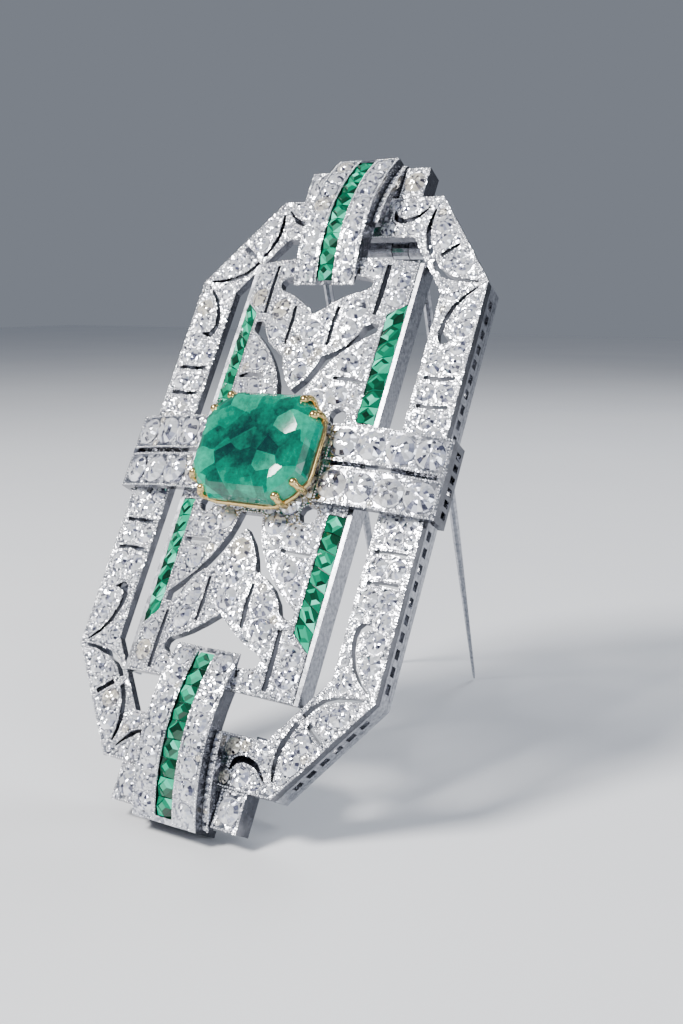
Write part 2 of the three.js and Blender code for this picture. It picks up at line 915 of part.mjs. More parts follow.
function emeraldBasket() {
  const lowRing = basketRing(basketLowZ, basketLowZ + basketWire, basketLowShare);
  const highRing = basketRing(basketHighZ, basketHighZ + basketWire, basketHighShare);
  const legs = clawFeet().map(([x, y]) => {
    const foot = [x * 0.75, y * 0.75, basketLowZ + 0.1];
    const head = [x * 0.89, y * 0.89, basketHighZ + 0.3];
    return rodBetween(foot, head, clawDia * 0.8, 8);
  });
  const claws = clawFeet().map(([x, y]) =>
    clawPost(x, y, clawDia + 2 * joinGap, basketHighZ - 1, emeraldGirdleZ + 3),
  );
  const stone = cutterAround(centreEmerald());
  return withoutEach(joined([lowRing, highRing, ...legs]), [...claws, stone]);
}

// A copy of a solid made a little larger about its own middle, to cut its seat.
function cutterAround(solid) {
  const grow = 1 + (2 * joinGap) / emeraldTall;
  const middle = [0, 0, -emeraldGirdleZ];
  return solid
    .translate(middle)
    .scale([grow, grow, grow])
    .translate([0, 0, emeraldGirdleZ]);
}

function claw(x, y, signX, signY) {
  const post = clawPost(x, y, clawDia, basketHighZ, emeraldGirdleZ + 0.7);
  const ball = new THREE.SphereGeometry(clawBallDia / 2, 8, 6);
  ball.translate(x - signX * 0.3, y - signY * 0.3, emeraldGirdleZ + 0.95);
  return post.add(toSolid(ball)).subtract(cutterAround(centreEmerald()));
}

// ---- pin, hinge and catch -----------------------------------------------

// Back plate across the frame's end bar that carries the hinge or the catch.
function bridgePlate(lowY, highY) {
  return block(-bridgeHalf, bridgeHalf, lowY, highY, railBackZ - joinGap - bridgeThick, railFrontZ);
}

function hingeBracket() {
  const plateTop = railBackZ - joinGap;
  const plateEnd = frameHalfLength - 0.1;
  const plate = bridgePlate(hingeY + hingeDia / 2 + 0.25, plateEnd);
  const ears = [];
  [-1, 1].forEach((side) => {
    const centre = side * (pinSpread - knuckleWide - barrelGap);
    const lowX = centre - knuckleWide / 2;
    const barrel = rodAlongX(hingeDia, lowX, lowX + knuckleWide, hingeY, hingeZ);
    const arm = block(lowX, lowX + knuckleWide, hingeY, plateEnd, plateTop - 1.35, plateTop - 0.2);
    ears.push(barrel, arm);
  });
  const bore = rodAlongX(rivetDia + 2 * rivetPlay, -20, 20, hingeY, hingeZ);
  return joined([plate, ...ears]).subtract(bore);
}

function hingeRivet() {
  const reach = pinSpread + knuckleWide / 2 + 0.5;
  const shank = rodAlongX(rivetDia, -reach, reach, hingeY, hingeZ);
  const heads = [-1, 1].map((side) => {
    const inner = side * (pinSpread + knuckleWide / 2 + 0.1);
    const outer = side * (reach + 0.1);
    return rodAlongX(rivetDia * 1.8, Math.min(inner, outer), Math.max(inner, outer), hingeY, hingeZ);
  });
  return joined([shank, ...heads]);
}

// Direction of an open prong from the hinge, chosen so that its tip meets the surface the brooch stands on.
function openAngle() {
  const lean = THREE.MathUtils.degToRad(leanDeg);
  const worldZ = (y, z) => y * Math.cos(lean) + z * Math.sin(lean);
  const footZ = Math.min(
    worldZ(-strapOuterY, strapFrontZ(strapOuterY)),
    worldZ(-strapOuterY, -plateThick - galleryDeep),
  );
  const drop = worldZ(hingeY, hingeZ) - footZ - pinTipDia / 2;
  const fromVertical = Math.acos(drop / pinLength);
  return lean + fromVertical;
}

// A prong: a round wire that tapers to a point over its last third.
function prong(side) {
  const profile = [
    [0, 0],
    [pinWire / 2, 0],
    [pinWire / 2, pinLength * 0.62],
    [pinTipDia / 2, pinLength - 0.6],
    [pinTipDia / 4, pinLength],
    [0, pinLength],
  ];
  const wire = new THREE.LatheGeometry(pathOf(profile), 8);
  wire.rotateX(Math.PI);
  wire.translate(side * pinSpread, 0, 0);
  return toSolid(wire);
}

// The heel that meets the back plate when the pin is fully open.
function pinHeel(halfWide) {
  const stopZ = railBackZ - joinGap - bridgeThick - hingeZ;
  const heel = block(-halfWide, halfWide, 0, hingeDia / 2 + 1.1, stopZ - joinGap - 0.6, stopZ - joinGap);
  return heel.subtract(rodAlongX(hingeDia - 0.2, -20, 20, 0, 0));
}

function doublePin() {
  const outerX = pinSpread - knuckleWide / 2;
  const parts = [];
  [-1, 1].forEach((side) => {
    const lowX = side > 0 ? outerX : -pinSpread - knuckleWide / 2;
    parts.push(rodAlongX(hingeDia, lowX, lowX + knuckleWide, 0, 0), prong(side));
  });
  const innerX = pinSpread - 1.5 * knuckleWide - 2 * barrelGap;
  parts.push(rodAlongX(hingeDia, -innerX, innerX, 0, 0));
  const bowTop = -hingeDia / 2 - 0.1;
  const halfBow = bowWide / 2;
  const bow = block(-pinSpread, pinSpread, bowTop - bowWide, bowTop, -halfBow, halfBow);
  const webs = block(-innerX, innerX, bowTop - halfBow, 0, -halfBow, halfBow);
  parts.push(bow, webs);
  const bore = rodAlongX(rivetDia + 2 * rivetPlay, -20, 20, 0, 0);
  const turned = joined(parts)
    .subtract(bore)
    .rotate([THREE.MathUtils.radToDeg(openAngle()), 0, 0]);
  return turned.add(pinHeel(innerX)).translate([0, hingeY, hingeZ]);
}

// Catch: two uprights behind the bottom bar, each with a notch that takes a prong's tip from behind.
function catchBase() {
  const top = railBackZ - joinGap;
  const plate = bridgePlate(-frameHalfLength + 0.1, catchFromY + 0.3);
  const parts = [plate];
  [-1, 1].forEach((side) => {
    const middle = side * pinSpread;
    const upright = block(
      middle - catchWide / 2,
      middle + catchWide / 2,
      catchFromY,
      catchToY,
      catchLowZ,
      top - 0.1,
    );
    const notch = block(
      middle - notchWide / 2,
      middle + notchWide / 2,
      catchFromY - 1,
      catchToY + 1,
      catchLowZ - 1,
      hingeZ + pinWire / 2 - 0.1,
    );
    parts.push(upright.subtract(notch));
  });
  const ear = block(
    -flapEarHalf,
    flapEarHalf,
    flapAxisY - flapBarrelDia / 2,
    flapAxisY + flapBarrelDia / 2,
    flapAxisZ,
    top - 0.1,
  );
  const barrel = rodAlongX(flapBarrelDia, -flapEarHalf, flapEarHalf, flapAxisY, flapAxisZ, smallSides);
  return joined([...parts, ear, barrel]).subtract(flapBore());
}

function flapBore() {
  return rodAlongX(rivetDia + 2 * rivetPlay, -20, 20, flapAxisY, flapAxisZ, smallSides);
}

function flapRivet() {
  const reach = flapBarrelTo + 0.45;
  const shank = rodAlongX(rivetDia, -reach, reach, flapAxisY, flapAxisZ, smallSides);
  const heads = [-1, 1].map((side) => {
    const inner = side * (flapBarrelTo + 0.1);
    const outer = side * reach;
    const [lowX, highX] = [Math.min(inner, outer), Math.max(inner, outer)];
    return rodAlongX(rivetDia * 1.7, lowX, highX, flapAxisY, flapAxisZ, smallSides);
  });
  return joined([shank, ...heads]);
}

// Safety flap: one bar that closes over both prong tips and stands open here.
function safetyFlap() {
  const halfThick = flapThick / 2;
  const halfBar = flapBarWide / 2;
  const barHalf = pinSpread + catchWide / 2;
  const earX = flapEarHalf + barrelGap;
  const lowZ = flapAxisZ - halfThick;
  const highZ = flapAxisZ + halfThick;
  const parts = [block(-barHalf, barHalf, flapBarY - halfBar, flapBarY + halfBar, lowZ, highZ)];
  [
    [earX, flapBarrelTo],
    [-flapBarrelTo, -earX],
  ].forEach(([lowX, highX]) => {
    parts.push(rodAlongX(flapBarrelDia, lowX, highX, flapAxisY, flapAxisZ, smallSides));
    parts.push(block(lowX, highX, flapAxisY, flapBarY, lowZ, highZ));
  });
  return joined(parts)
    .subtract(flapBore())
    .translate([0, -flapAxisY, -flapAxisZ])
    .rotate([-flapOpenDeg, 0, 0])
    .translate([0, flapAxisY, flapAxisZ]);
}

// ---- assembly -----------------------------------------------------------

const brooch = new THREE.Group();
brooch.name = "brooch_local";

function place(name, solid, look) {
  const material = new THREE.MeshStandardMaterial(look);
  const mesh = new THREE.Mesh(toGeometry(solid), material);
  mesh.name = name;
  brooch.add(mesh);
}

function placeStones() {
  const sideNames = { 1: "right", "-1": "left" };
  const endNames = { 1: "top", "-1": "bottom" };
  [1, -1].forEach((sx) =>
    [1, -1].forEach((sy) => {
      place(`side_emeralds_${endNames[sy]}_${sideNames[sx]}`, sideEmeralds(sx, sy), emeraldGreen);
      place(`shoulder_${endNames[sy]}_${sideNames[sx]}`, shoulder(sx, sy), metal);
      place(`step_block_${endNames[sy]}_${sideNames[sx]}`, stepBlock(sx, sy), metal);
    }),
  );
  [1, -1].forEach((side) => {
    place(`band_${sideNames[side]}`, band(side), metal);
    place(`panel_rail_${sideNames[side]}`, panelRail(side), metal);
    place(`strap_${endNames[side]}`, strap(side), metal);
    place(`strap_emeralds_${endNames[side]}`, strapEmeralds(side), emeraldGreen);
    [1, -1].forEach((row) => {
      for (let i = 0; i < bandStonesPerRow; i += 1) {
        const name = `diamond_${sideNames[side]}_${row > 0 ? "upper" : "lower"}_${i + 1}`;
        place(name, bandDiamond(side, row, i), diamondWhite);
      }
    });
  });
}

function placeAll() {
  place("outer_frame", outerFrame(), metal);
  place("outer_gallery", outerGallery(), metal);
  place("back_rail_left", backRail(-1), metal);
  place("back_rail_right", backRail(1), metal);
  place("centre_panel", centrePanel(), metal);
  placeStones();
  place("centre_emerald", centreEmerald(), emeraldGreen);
  place("emerald_basket", emeraldBasket(), gold);
  clawFeet().forEach(([x, y, sx, sy], i) => place(`claw_${i + 1}`, claw(x, y, sx, sy), gold));
  place("hinge_bracket", hingeBracket(), metal);
  place("hinge_rivet", hingeRivet(), metal);
  place("double_pin", doublePin(), metal);
  place("catch_base", catchBase(), metal);
  place("catch_rivet", flapRivet(), metal);
  place("safety_flap", safetyFlap(), metal);
}

placeAll();

// The brooch leans back on its pin: its foot and the pin tips on z = 0, its bounding box centred
// over the origin.
brooch.rotation.x = THREE.MathUtils.degToRad(90 - leanDeg);
const group = new THREE.Group();
group.name = "brooch";
group.add(brooch);
group.updateMatrixWorld(true);
const bounds = new THREE.Box3().setFromObject(group, true);
const middle = bounds.getCenter(new THREE.Vector3());
brooch.position.set(-middle.x, -middle.y, -bounds.min.z);
group.updateMatrixWorld(true);

export default group;
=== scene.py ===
import math
import random

import bpy
import numpy as np
from mathutils import Matrix, Vector
from mathutils.bvhtree import BVHTree


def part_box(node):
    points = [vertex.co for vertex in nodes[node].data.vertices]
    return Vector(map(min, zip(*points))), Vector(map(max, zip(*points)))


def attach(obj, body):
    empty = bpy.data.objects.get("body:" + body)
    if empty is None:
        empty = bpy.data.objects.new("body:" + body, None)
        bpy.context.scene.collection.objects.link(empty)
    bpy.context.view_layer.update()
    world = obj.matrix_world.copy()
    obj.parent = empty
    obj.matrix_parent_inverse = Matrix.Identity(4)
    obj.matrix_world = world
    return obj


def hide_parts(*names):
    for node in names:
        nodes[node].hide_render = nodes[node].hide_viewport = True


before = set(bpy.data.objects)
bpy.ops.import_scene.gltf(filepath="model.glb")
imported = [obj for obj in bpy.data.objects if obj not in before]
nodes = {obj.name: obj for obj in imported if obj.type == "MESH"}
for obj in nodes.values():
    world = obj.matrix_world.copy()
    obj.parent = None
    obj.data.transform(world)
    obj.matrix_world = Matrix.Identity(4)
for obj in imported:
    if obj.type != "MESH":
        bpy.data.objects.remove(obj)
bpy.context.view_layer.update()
mm = 0.001

# the brooch's own directions: x across, y along its length, z out of its front, in mm from its middle
leanAngle = math.radians(31.5)
alongDir = Vector((0, math.sin(leanAngle), math.cos(leanAngle)))
outDir = Vector((0, -math.cos(leanAngle), math.sin(leanAngle)))
plateThick = 0.9
lowPlate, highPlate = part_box("outer_frame")
heart = (lowPlate + highPlate) / 2 + outDir * (plateThick / 2 * mm)
toWorldMatrix = Matrix.Translation(heart) @ Matrix((
    (1, alongDir.x, outDir.x, 0),
    (0, alongDir.y, outDir.y, 0),
    (0, alongDir.z, outDir.z, 0),
    (0, 0, 0, 1),
)) @ Matrix.Scale(mm, 4)
toBroochMatrix = toWorldMatrix.inverted()
print("brooch middle at", [round(v, 4) for v in heart])


# materials

def newMaterial(name, **values):
    material = bpy.data.materials.new(name)
    material.use_nodes = True
    shader = material.node_tree.nodes["Principled BSDF"]
    for socketName, value in values.items():
        shader.inputs[socketName].default_value = value
    return material, material.node_tree, shader


def addNode(tree, kind, **settings):
    node = tree.nodes.new(kind)
    for key, value in settings.items():
        if key in node.inputs:
            node.inputs[key].default_value = value
        else:
            setattr(node, key, value)
    return node


def noiseOf(tree, scale, detail=3.0, rough=0.55):
    place = addNode(tree, "ShaderNodeTexCoord")
    noise = addNode(tree, "ShaderNodeTexNoise", Scale=scale, Detail=detail, Roughness=rough)
    tree.links.new(place.outputs["Object"], noise.inputs["Vector"])
    return noise.outputs["Fac"]


def rampOf(tree, source, stops):
    ramp = addNode(tree, "ShaderNodeValToRGB")
    bar = ramp.color_ramp
    while len(bar.elements) < len(stops):
        bar.elements.new(0.5)
    for element, (at, colour) in zip(bar.elements, stops):
        element.position = at
        element.color = (*colour, 1)
    tree.links.new(source, ramp.inputs["Fac"])
    return ramp.outputs["Color"]


def rangeOf(tree, source, low, high, fromLow=0.0, fromHigh=1.0):
    spread = addNode(tree, "ShaderNodeMapRange")
    spread.inputs["From Min"].default_value = fromLow
    spread.inputs["From Max"].default_value = fromHigh
    spread.inputs["To Min"].default_value = low
    spread.inputs["To Max"].default_value = high
    tree.links.new(source, spread.inputs["Value"])
    return spread.outputs["Result"]


def bumpOf(tree, shader, source, strength, distance):
    bump = addNode(tree, "ShaderNodeBump", Strength=strength, Distance=distance)
    tree.links.new(source, bump.inputs["Height"])
    tree.links.new(bump.outputs["Normal"], shader.inputs["Normal"])


metalLook = {
    "tones": ((0.3, (0.24, 0.25, 0.28)), (0.62, (0.5, 0.51, 0.55))),
    # painted highlight: beads and grains are the same platinum, painted lighter as if lit
    "litBeadTones": ((0.3, (0.8, 0.8, 0.83)), (0.62, (0.97, 0.97, 0.98))),
    "grainScale": 2600,   # per metre: marks about 0.4 mm apart
    "grainDepth": 0.00004,
    "polishScale": 900,
    "polishSpan": (0.3, 0.7),
    "cutScale": 3400,     # small bright cuts between the stones, about 0.3 mm across; their tones are painted glints and painted shade
    "cutTilt": 0.3,
    "cutGlintAndShadeTones": ((0.1, (0.33, 0.34, 0.39)), (0.45, (0.6, 0.61, 0.66)), (0.8, (0.88, 0.88, 0.92))),
    "cutRough": (0.12, 0.3),
    # painted shade for faces turned away from the front
    "shadedWallTones": ((0.35, (0.11, 0.113, 0.128)), (0.7, (0.19, 0.195, 0.22))),
    "frontSpan": (0.35, 0.7),    # how square to the front a face is, from painted shade to fully bright
}
goldLook = {
    "tones": ((0.3, (0.62, 0.41, 0.14)), (0.7, (0.9, 0.68, 0.31))),
    "rough": (0.12, 0.3),
    "grain": 0.25,
    "grainDepth": 0.00003,
}


def platinumMaterial(name, rough, grain, tones=metalLook["tones"]):
    material, tree, shader = newMaterial(name, Metallic=1.0)
    broad = noiseOf(tree, metalLook["polishScale"])
    fine = noiseOf(tree, metalLook["grainScale"], 4.0)
    tree.links.new(rampOf(tree, fine, tones), shader.inputs["Base Color"])
    tree.links.new(rangeOf(tree, broad, *rough, *metalLook["polishSpan"]), shader.inputs["Roughness"])
    bumpOf(tree, shader, fine, grain, metalLook["grainDepth"])
    return material


def goldMaterial():
    material, tree, shader = newMaterial("basketGold", Metallic=1.0)
    fine = noiseOf(tree, metalLook["grainScale"])
    tree.links.new(rampOf(tree, fine, goldLook["tones"]), shader.inputs["Base Color"])
    tree.links.new(rangeOf(tree, fine, *goldLook["rough"]), shader.inputs["Roughness"])
    bumpOf(tree, shader, fine, goldLook["grain"], goldLook["grainDepth"])
    return material


gemLook = {
    "sectors": 16,        # facets round a stone
    "rings": 3.3,         # and from its middle to its girdle
    "stoneSpread": 97.0,  # keeps two stones from drawing the same facets
    "facetTilt": 0.6,
    # painted reflections: the facets' tones, near-black blue to white, stand in for what each stone mirrors
    "diamondTones": ((0.0, (0.02, 0.022, 0.045)), (0.18, (0.1, 0.105, 0.18)), (0.3, (0.5, 0.53, 0.68)),
                     (0.45, (0.92, 0.94, 0.99)), (1.0, (1.0, 1.0, 1.0))),
    "warmTones": ((0.9, (1.0, 1.0, 1.0)), (0.97, (1.0, 0.92, 0.74))),
    # painted shade: the undersides of the stones seen through the openings at the back
    "backShadeTones": ((0.0, (0.004, 0.004, 0.006)), (0.5, (0.03, 0.032, 0.045)), (0.8, (0.12, 0.13, 0.17)),
                  (1.0, (0.55, 0.57, 0.64))),
    # the emerald's green with painted reflections: each facet a random tone from dark green to a near-white
    # highlight
    "calibreGreenAndReflectionTones": ((0.0, (0.0, 0.018, 0.008)), (0.3, (0.0, 0.07, 0.032)), (0.6, (0.0, 0.22, 0.11)),
                     (0.85, (0.0, 0.46, 0.25)), (1.0, (0.14, 0.88, 0.6))),
}
gardenAndReflectionLook = {
    "patchScale": 2.9,    # patches across half the stone
    "patchShare": 0.25,
    "patchTilt": 0.12,
    "scale": 900,
    "detail": 6.0,
    "rough": 0.75,
    "share": 0.6,
    "rimLight": 0.27,
    "polish": 0.3,
    "polishRough": 0.02,
    # the stone's green, painted dark in the middle and bright on the rim and on lit patches: painted
    # reflections and highlights
    "tones": ((0.28, (0.0, 0.007, 0.014)), (0.46, (0.0, 0.035, 0.028)), (0.62, (0.0, 0.13, 0.078)),
              (0.78, (0.0, 0.3, 0.18)), (0.92, (0.0, 0.48, 0.3)), (1.0, (0.1, 0.85, 0.6))),
}


def mathOf(tree, operation, first, second=None):
    node = addNode(tree, "ShaderNodeMath", operation=operation)
    for socket, value in zip(node.inputs, (first, second)):
        if isinstance(value, (int, float)):
            socket.default_value = value
        elif value is not None:
            tree.links.new(value, socket)
    return node.outputs["Value"]


def facetNoise(tree):
    cut = addNode(tree, "ShaderNodeAttribute", attribute_name="cut")
    stone = addNode(tree, "ShaderNodeAttribute", attribute_name="stoneTone")
    parts = addNode(tree, "ShaderNodeSeparateXYZ")
    tree.links.new(cut.outputs["Vector"], parts.inputs["Vector"])
    x, y = parts.outputs["X"], parts.outputs["Y"]
    angle = mathOf(tree, "ARCTAN2", y, x)
    sector = mathOf(tree, "FLOOR", mathOf(tree, "MULTIPLY", angle, gemLook["sectors"] / (2 * math.pi)))
    squares = [mathOf(tree, "MULTIPLY", part, part) for part in (x, y)]
    reach = mathOf(tree, "SQRT", mathOf(tree, "ADD", *squares))
    ring = mathOf(tree, "FLOOR", mathOf(tree, "MULTIPLY", reach, gemLook["rings"]))
    key = addNode(tree, "ShaderNodeCombineXYZ")
    tree.links.new(sector, key.inputs["X"])
    tree.links.new(ring, key.inputs["Y"])
    tree.links.new(mathOf(tree, "MULTIPLY", stone.outputs["Fac"], gemLook["stoneSpread"]), key.inputs["Z"])
    dice = addNode(tree, "ShaderNodeTexWhiteNoise", noise_dimensions="3D")
    tree.links.new(key.outputs["Vector"], dice.inputs["Vector"])
    return dice.outputs["Value"], dice.outputs["Color"]


def tiltFacets(tree, shader, colour, amount):
    centred = addNode(tree, "ShaderNodeVectorMath", operation="SUBTRACT")
    centred.inputs[1].default_value = (0.5, 0.5, 0.5)
    scaled = addNode(tree, "ShaderNodeVectorMath", operation="SCALE")
    if isinstance(amount, (int, float)):
        scaled.inputs["Scale"].default_value = amount
    else:
        tree.links.new(amount, scaled.inputs["Scale"])
    facing = addNode(tree, "ShaderNodeNewGeometry")
    added = addNode(tree, "ShaderNodeVectorMath", operation="ADD")
    unit = addNode(tree, "ShaderNodeVectorMath", operation="NORMALIZE")
    tree.links.new(colour, centred.inputs[0])
    tree.links.new(centred.outputs["Vector"], scaled.inputs[0])
    tree.links.new(scaled.outputs["Vector"], added.inputs[0])
    tree.links.new(facing.outputs["Normal"], added.inputs[1])
    tree.links.new(added.outputs["Vector"], unit.inputs[0])
    tree.links.new(unit.outputs["Vector"], shader.inputs["Normal"])


def diamondMaterial(name, tones):
    material, tree, shader = newMaterial(name, IOR=2.42, Roughness=0.03, Metallic=0.45)
    # each facet is painted a tone from the given ramp: painted reflections for the stones' fronts, painted
    # shade for their backs
    value, colour = facetNoise(tree)
    # one stone in a dozen is a little warm
    stone = addNode(tree, "ShaderNodeAttribute", attribute_name="stoneTone")
    tint = addNode(tree, "ShaderNodeVectorMath", operation="MULTIPLY")
    tree.links.new(rampOf(tree, value, tones), tint.inputs[0])
    tree.links.new(rampOf(tree, stone.outputs["Fac"], gemLook["warmTones"]), tint.inputs[1])
    tree.links.new(tint.outputs["Vector"], shader.inputs["Base Color"])
    tiltFacets(tree, shader, colour, gemLook["facetTilt"])
    return material


def calibreMaterial():
    material, tree, shader = newMaterial("squareCutEmerald", IOR=1.58, Roughness=0.05)
    # each facet takes a random tone from the ramp: the stone's green with painted reflections and highlights
    facet = addNode(tree, "ShaderNodeAttribute", attribute_name="facetTone")
    tree.links.new(rampOf(tree, facet.outputs["Fac"], gemLook["calibreGreenAndReflectionTones"]), shader.inputs["Base Color"])
    return material


def centreEmeraldMaterial():
    material, tree, shader = newMaterial("centreEmeraldGreen", IOR=1.45, Roughness=0.04)
    shader.inputs["Coat Weight"].default_value = gardenAndReflectionLook["polish"]
    shader.inputs["Coat Roughness"].default_value = gardenAndReflectionLook["polishRough"]
    # painted reflections of the rear facets seen through the table: large angular patches, with painted
    # shade towards the middle and painted light towards the rim
    inside = addNode(tree, "ShaderNodeAttribute", attribute_name="cut")
    cells = addNode(tree, "ShaderNodeTexVoronoi", Scale=gardenAndReflectionLook["patchScale"])
    parts = addNode(tree, "ShaderNodeSeparateXYZ")
    reach = addNode(tree, "ShaderNodeVectorMath", operation="LENGTH")
    tree.links.new(inside.outputs["Vector"], cells.inputs["Vector"])
    tree.links.new(inside.outputs["Vector"], reach.inputs[0])
    tree.links.new(cells.outputs["Color"], parts.inputs["Vector"])
    patch = mathOf(tree, "MULTIPLY", parts.outputs["X"], gardenAndReflectionLook["patchShare"])
    cloud = noiseOf(tree, gardenAndReflectionLook["scale"], gardenAndReflectionLook["detail"], gardenAndReflectionLook["rough"])
    garden = mathOf(tree, "MULTIPLY", cloud, gardenAndReflectionLook["share"])
    outer = mathOf(tree, "MULTIPLY", reach.outputs["Value"], gardenAndReflectionLook["rimLight"])
    tone = mathOf(tree, "ADD", mathOf(tree, "ADD", patch, garden), outer)
    tree.links.new(rampOf(tree, tone, gardenAndReflectionLook["tones"]), shader.inputs["Base Color"])
    tiltFacets(tree, shader, cells.outputs["Color"], gardenAndReflectionLook["patchTilt"])
    return material


def brightCutMaterial():
    material, tree, shader = newMaterial("brightCutPlatinum", Metallic=1.0)
    place = addNode(tree, "ShaderNodeTexCoord")
    cells = addNode(tree, "ShaderNodeTexVoronoi", Scale=metalLook["cutScale"])
    tree.links.new(place.outputs["Object"], cells.inputs["Vector"])
    value = addNode(tree, "ShaderNodeSeparateXYZ")
    tree.links.new(cells.outputs["Color"], value.inputs["Vector"])
    # each cut is painted a random tone: painted glints and painted shade among the stones, on top of the
    # tilted facets
    bright = rampOf(tree, value.outputs["X"], metalLook["cutGlintAndShadeTones"])
    wallShade = rampOf(tree, noiseOf(tree, metalLook["polishScale"]), metalLook["shadedWallTones"])
    # walls of the sawn openings and of the rims are painted dark as shade, faces to the front or back are
    # bright
    facing = addNode(tree, "ShaderNodeVectorMath", operation="DOT_PRODUCT")
    facing.inputs[1].default_value = outDir
    tree.links.new(place.outputs["Normal"], facing.inputs[0])
    mix = addNode(tree, "ShaderNodeMix", data_type="RGBA")
    turned = mathOf(tree, "ABSOLUTE", facing.outputs["Value"])
    frontShare = rangeOf(tree, turned, 0.0, 1.0, *metalLook["frontSpan"])
    tree.links.new(frontShare, mix.inputs["Factor"])
    mixColours = [socket for socket in mix.inputs if socket.type == "RGBA"]
    tree.links.new(wallShade, mixColours[0])
    tree.links.new(bright, mixColours[1])
    blended = [socket for socket in mix.outputs if socket.type == "RGBA"][0]
    tree.links.new(blended, shader.inputs["Base Color"])
    tree.links.new(rangeOf(tree, value.outputs["Y"], *metalLook["cutRough"]), shader.inputs["Roughness"])
    tilt = mathOf(tree, "MULTIPLY", frontShare, metalLook["cutTilt"])
    tiltFacets(tree, shader, cells.outputs["Color"], tilt)
    return material


plateMetal = brightCutMaterial()
wallMetal = platinumMaterial("wallPlatinum", rough=(0.2, 0.38), grain=0.2)
beadMetal = platinumMaterial("beadPlatinum", rough=(0.16, 0.28), grain=0.1, tones=metalLook["litBeadTones"])
pinMetal = platinumMaterial("pinPlatinum", rough=(0.12, 0.24), grain=0.08)
basketGold = goldMaterial()
litDiamond = diamondMaterial("oldCutDiamond", gemLook["diamondTones"])
shadedDiamond = diamondMaterial("diamondFromBehind", gemLook["backShadeTones"])
calibreGreen = calibreMaterial()
emeraldGreen = centreEmeraldMaterial()


def dress(names, material):
    for name in names:
        mesh = nodes[name].data
        mesh.materials.clear()
        mesh.materials.append(material)


dress(["outer_frame", "centre_panel", "strap_top", "strap_bottom", "band_left", "band_right"], plateMetal)
dress([n for n in nodes if n.startswith(("shoulder_", "step_block_"))], plateMetal)
dress([n for n in nodes if n.startswith(("outer_gallery", "back_rail", "panel_rail"))], wallMetal)
dress(["hinge_bracket", "hinge_rivet", "double_pin", "catch_base", "catch_rivet", "safety_flap"], pinMetal)
dress([n for n in nodes if n.startswith("claw_")] + ["emerald_basket"], basketGold)
dress([n for n in nodes if n.startswith("diamond_")], litDiamond)
dress([n for n in nodes if "emeralds" in n], calibreGreen)
dress(["centre_emerald"], emeraldGreen)
print("finishes on the frame's own pieces")


# reading the metal's faces

reading = {
    "rayHeight": 30,
    "decimals": 3,
    "facing": 0.6,        # faces at least this square to the front carry stones
}


def cornersOf(name):
    mesh = nodes[name].data
    flat = np.zeros(len(mesh.vertices) * 3)
    mesh.vertices.foreach_get("co", flat)
    turn = np.array(toBroochMatrix)
    return flat.reshape(-1, 3) @ turn[:3, :3].T + turn[:3, 3]


def trianglesOf(name):
    mesh = nodes[name].data
    mesh.calc_loop_triangles()
    flat = np.zeros(len(mesh.loop_triangles) * 3, np.int32)
    mesh.loop_triangles.foreach_get("vertices", flat)
    points = np.round(cornersOf(name), reading["decimals"])
    merged, index = np.unique(points, axis=0, return_inverse=True)
    faces = index.reshape(-1)[flat].reshape(-1, 3)
    a, b, c = faces.T
    return merged, faces[(a != b) & (b != c) & (a != c)]


def surfaceOf(name):
    points, faces = trianglesOf(name)
    return BVHTree.FromPolygons(points.tolist(), faces.tolist())


def dropOn(surface, x, y, side=1):
    start = Vector((x, y, side * reading["rayHeight"]))
    hit, normal, _, _ = surface.ray_cast(start, Vector((0, 0, -side)))
    return hit, normal


def frontFaces(name, floor):
    points, faces = trianglesOf(name)
    a, b, c = points[faces[:, 0]], points[faces[:, 1]], points[faces[:, 2]]
    normals = np.cross(b - a, c - a)
    normals /= np.linalg.norm(normals, axis=1)[:, None] + 1e-12
    centres = (a + b + c) / 3
    return points, faces[(normals[:, 2] > reading["facing"]) & (centres[:, 2] > floor)]


def edgeLoops(faces):
    forward = {}
    pairs = {(int(f[i]), int(f[(i + 1) % 3])) for f in faces for i in range(3)}
    for a, b in pairs:
        if (b, a) not in pairs:
            forward.setdefault(a, []).append(b)
    loops = []
    while forward:
        start = next(iter(forward))
        loop = [start]
        at = start
        while True:
            following = forward[at]
            step = following.pop()
            if not following:
                del forward[at]
            if step == start or step not in forward:
                break
            loop.append(step)
            at = step
        if len(loop) > 2:
            loops.append(loop)
    return loops


def insetLine(points, loop, inset):
    places = points[loop]
    count = len(loop)
    line = []
    for i in range(count):
        edges = (places[i] - places[i - 1], places[(i + 1) % count] - places[i])
        sides = [Vector((-e[1], e[0])).normalized() for e in edges if math.hypot(e[0], e[1]) > 1e-6]
        side = sum(sides, Vector((0, 0)))
        if side.length < 1e-3:
            continue
        side.normalize()
        reach = min(inset / max(side.dot(sides[0]), beading["sharpest"]), inset * beading["furthest"])
        line.append((places[i][0] + side.x * reach, places[i][1] + side.y * reach))
    return line


# geometry nodes: lines of beads, set stones and small grains

beading = {
    "inset": 0.12,      # from the metal's edge to the middle of the beads
    "pitch": 0.27,
    "diameter": 0.23,
    "lift": 0.03,
    "growth": (0.9, 1.08),
    "sharpest": 0.5,    # how far a bead line may run on at a sharp corner
    "furthest": 1.6,
    "seed": 4,
}


def newTree(name, sockets):
    tree = bpy.data.node_groups.new(name, "GeometryNodeTree")
    tree.interface.new_socket(name="Geometry", in_out="INPUT", socket_type="NodeSocketGeometry")
    for socketName, kind in sockets:
        tree.interface.new_socket(name=socketName, in_out="INPUT", socket_type="NodeSocket" + kind)
    tree.interface.new_socket(name="Geometry", in_out="OUTPUT", socket_type="NodeSocketGeometry")
    return tree, tree.nodes.new("NodeGroupInput"), tree.nodes.new("NodeGroupOutput")


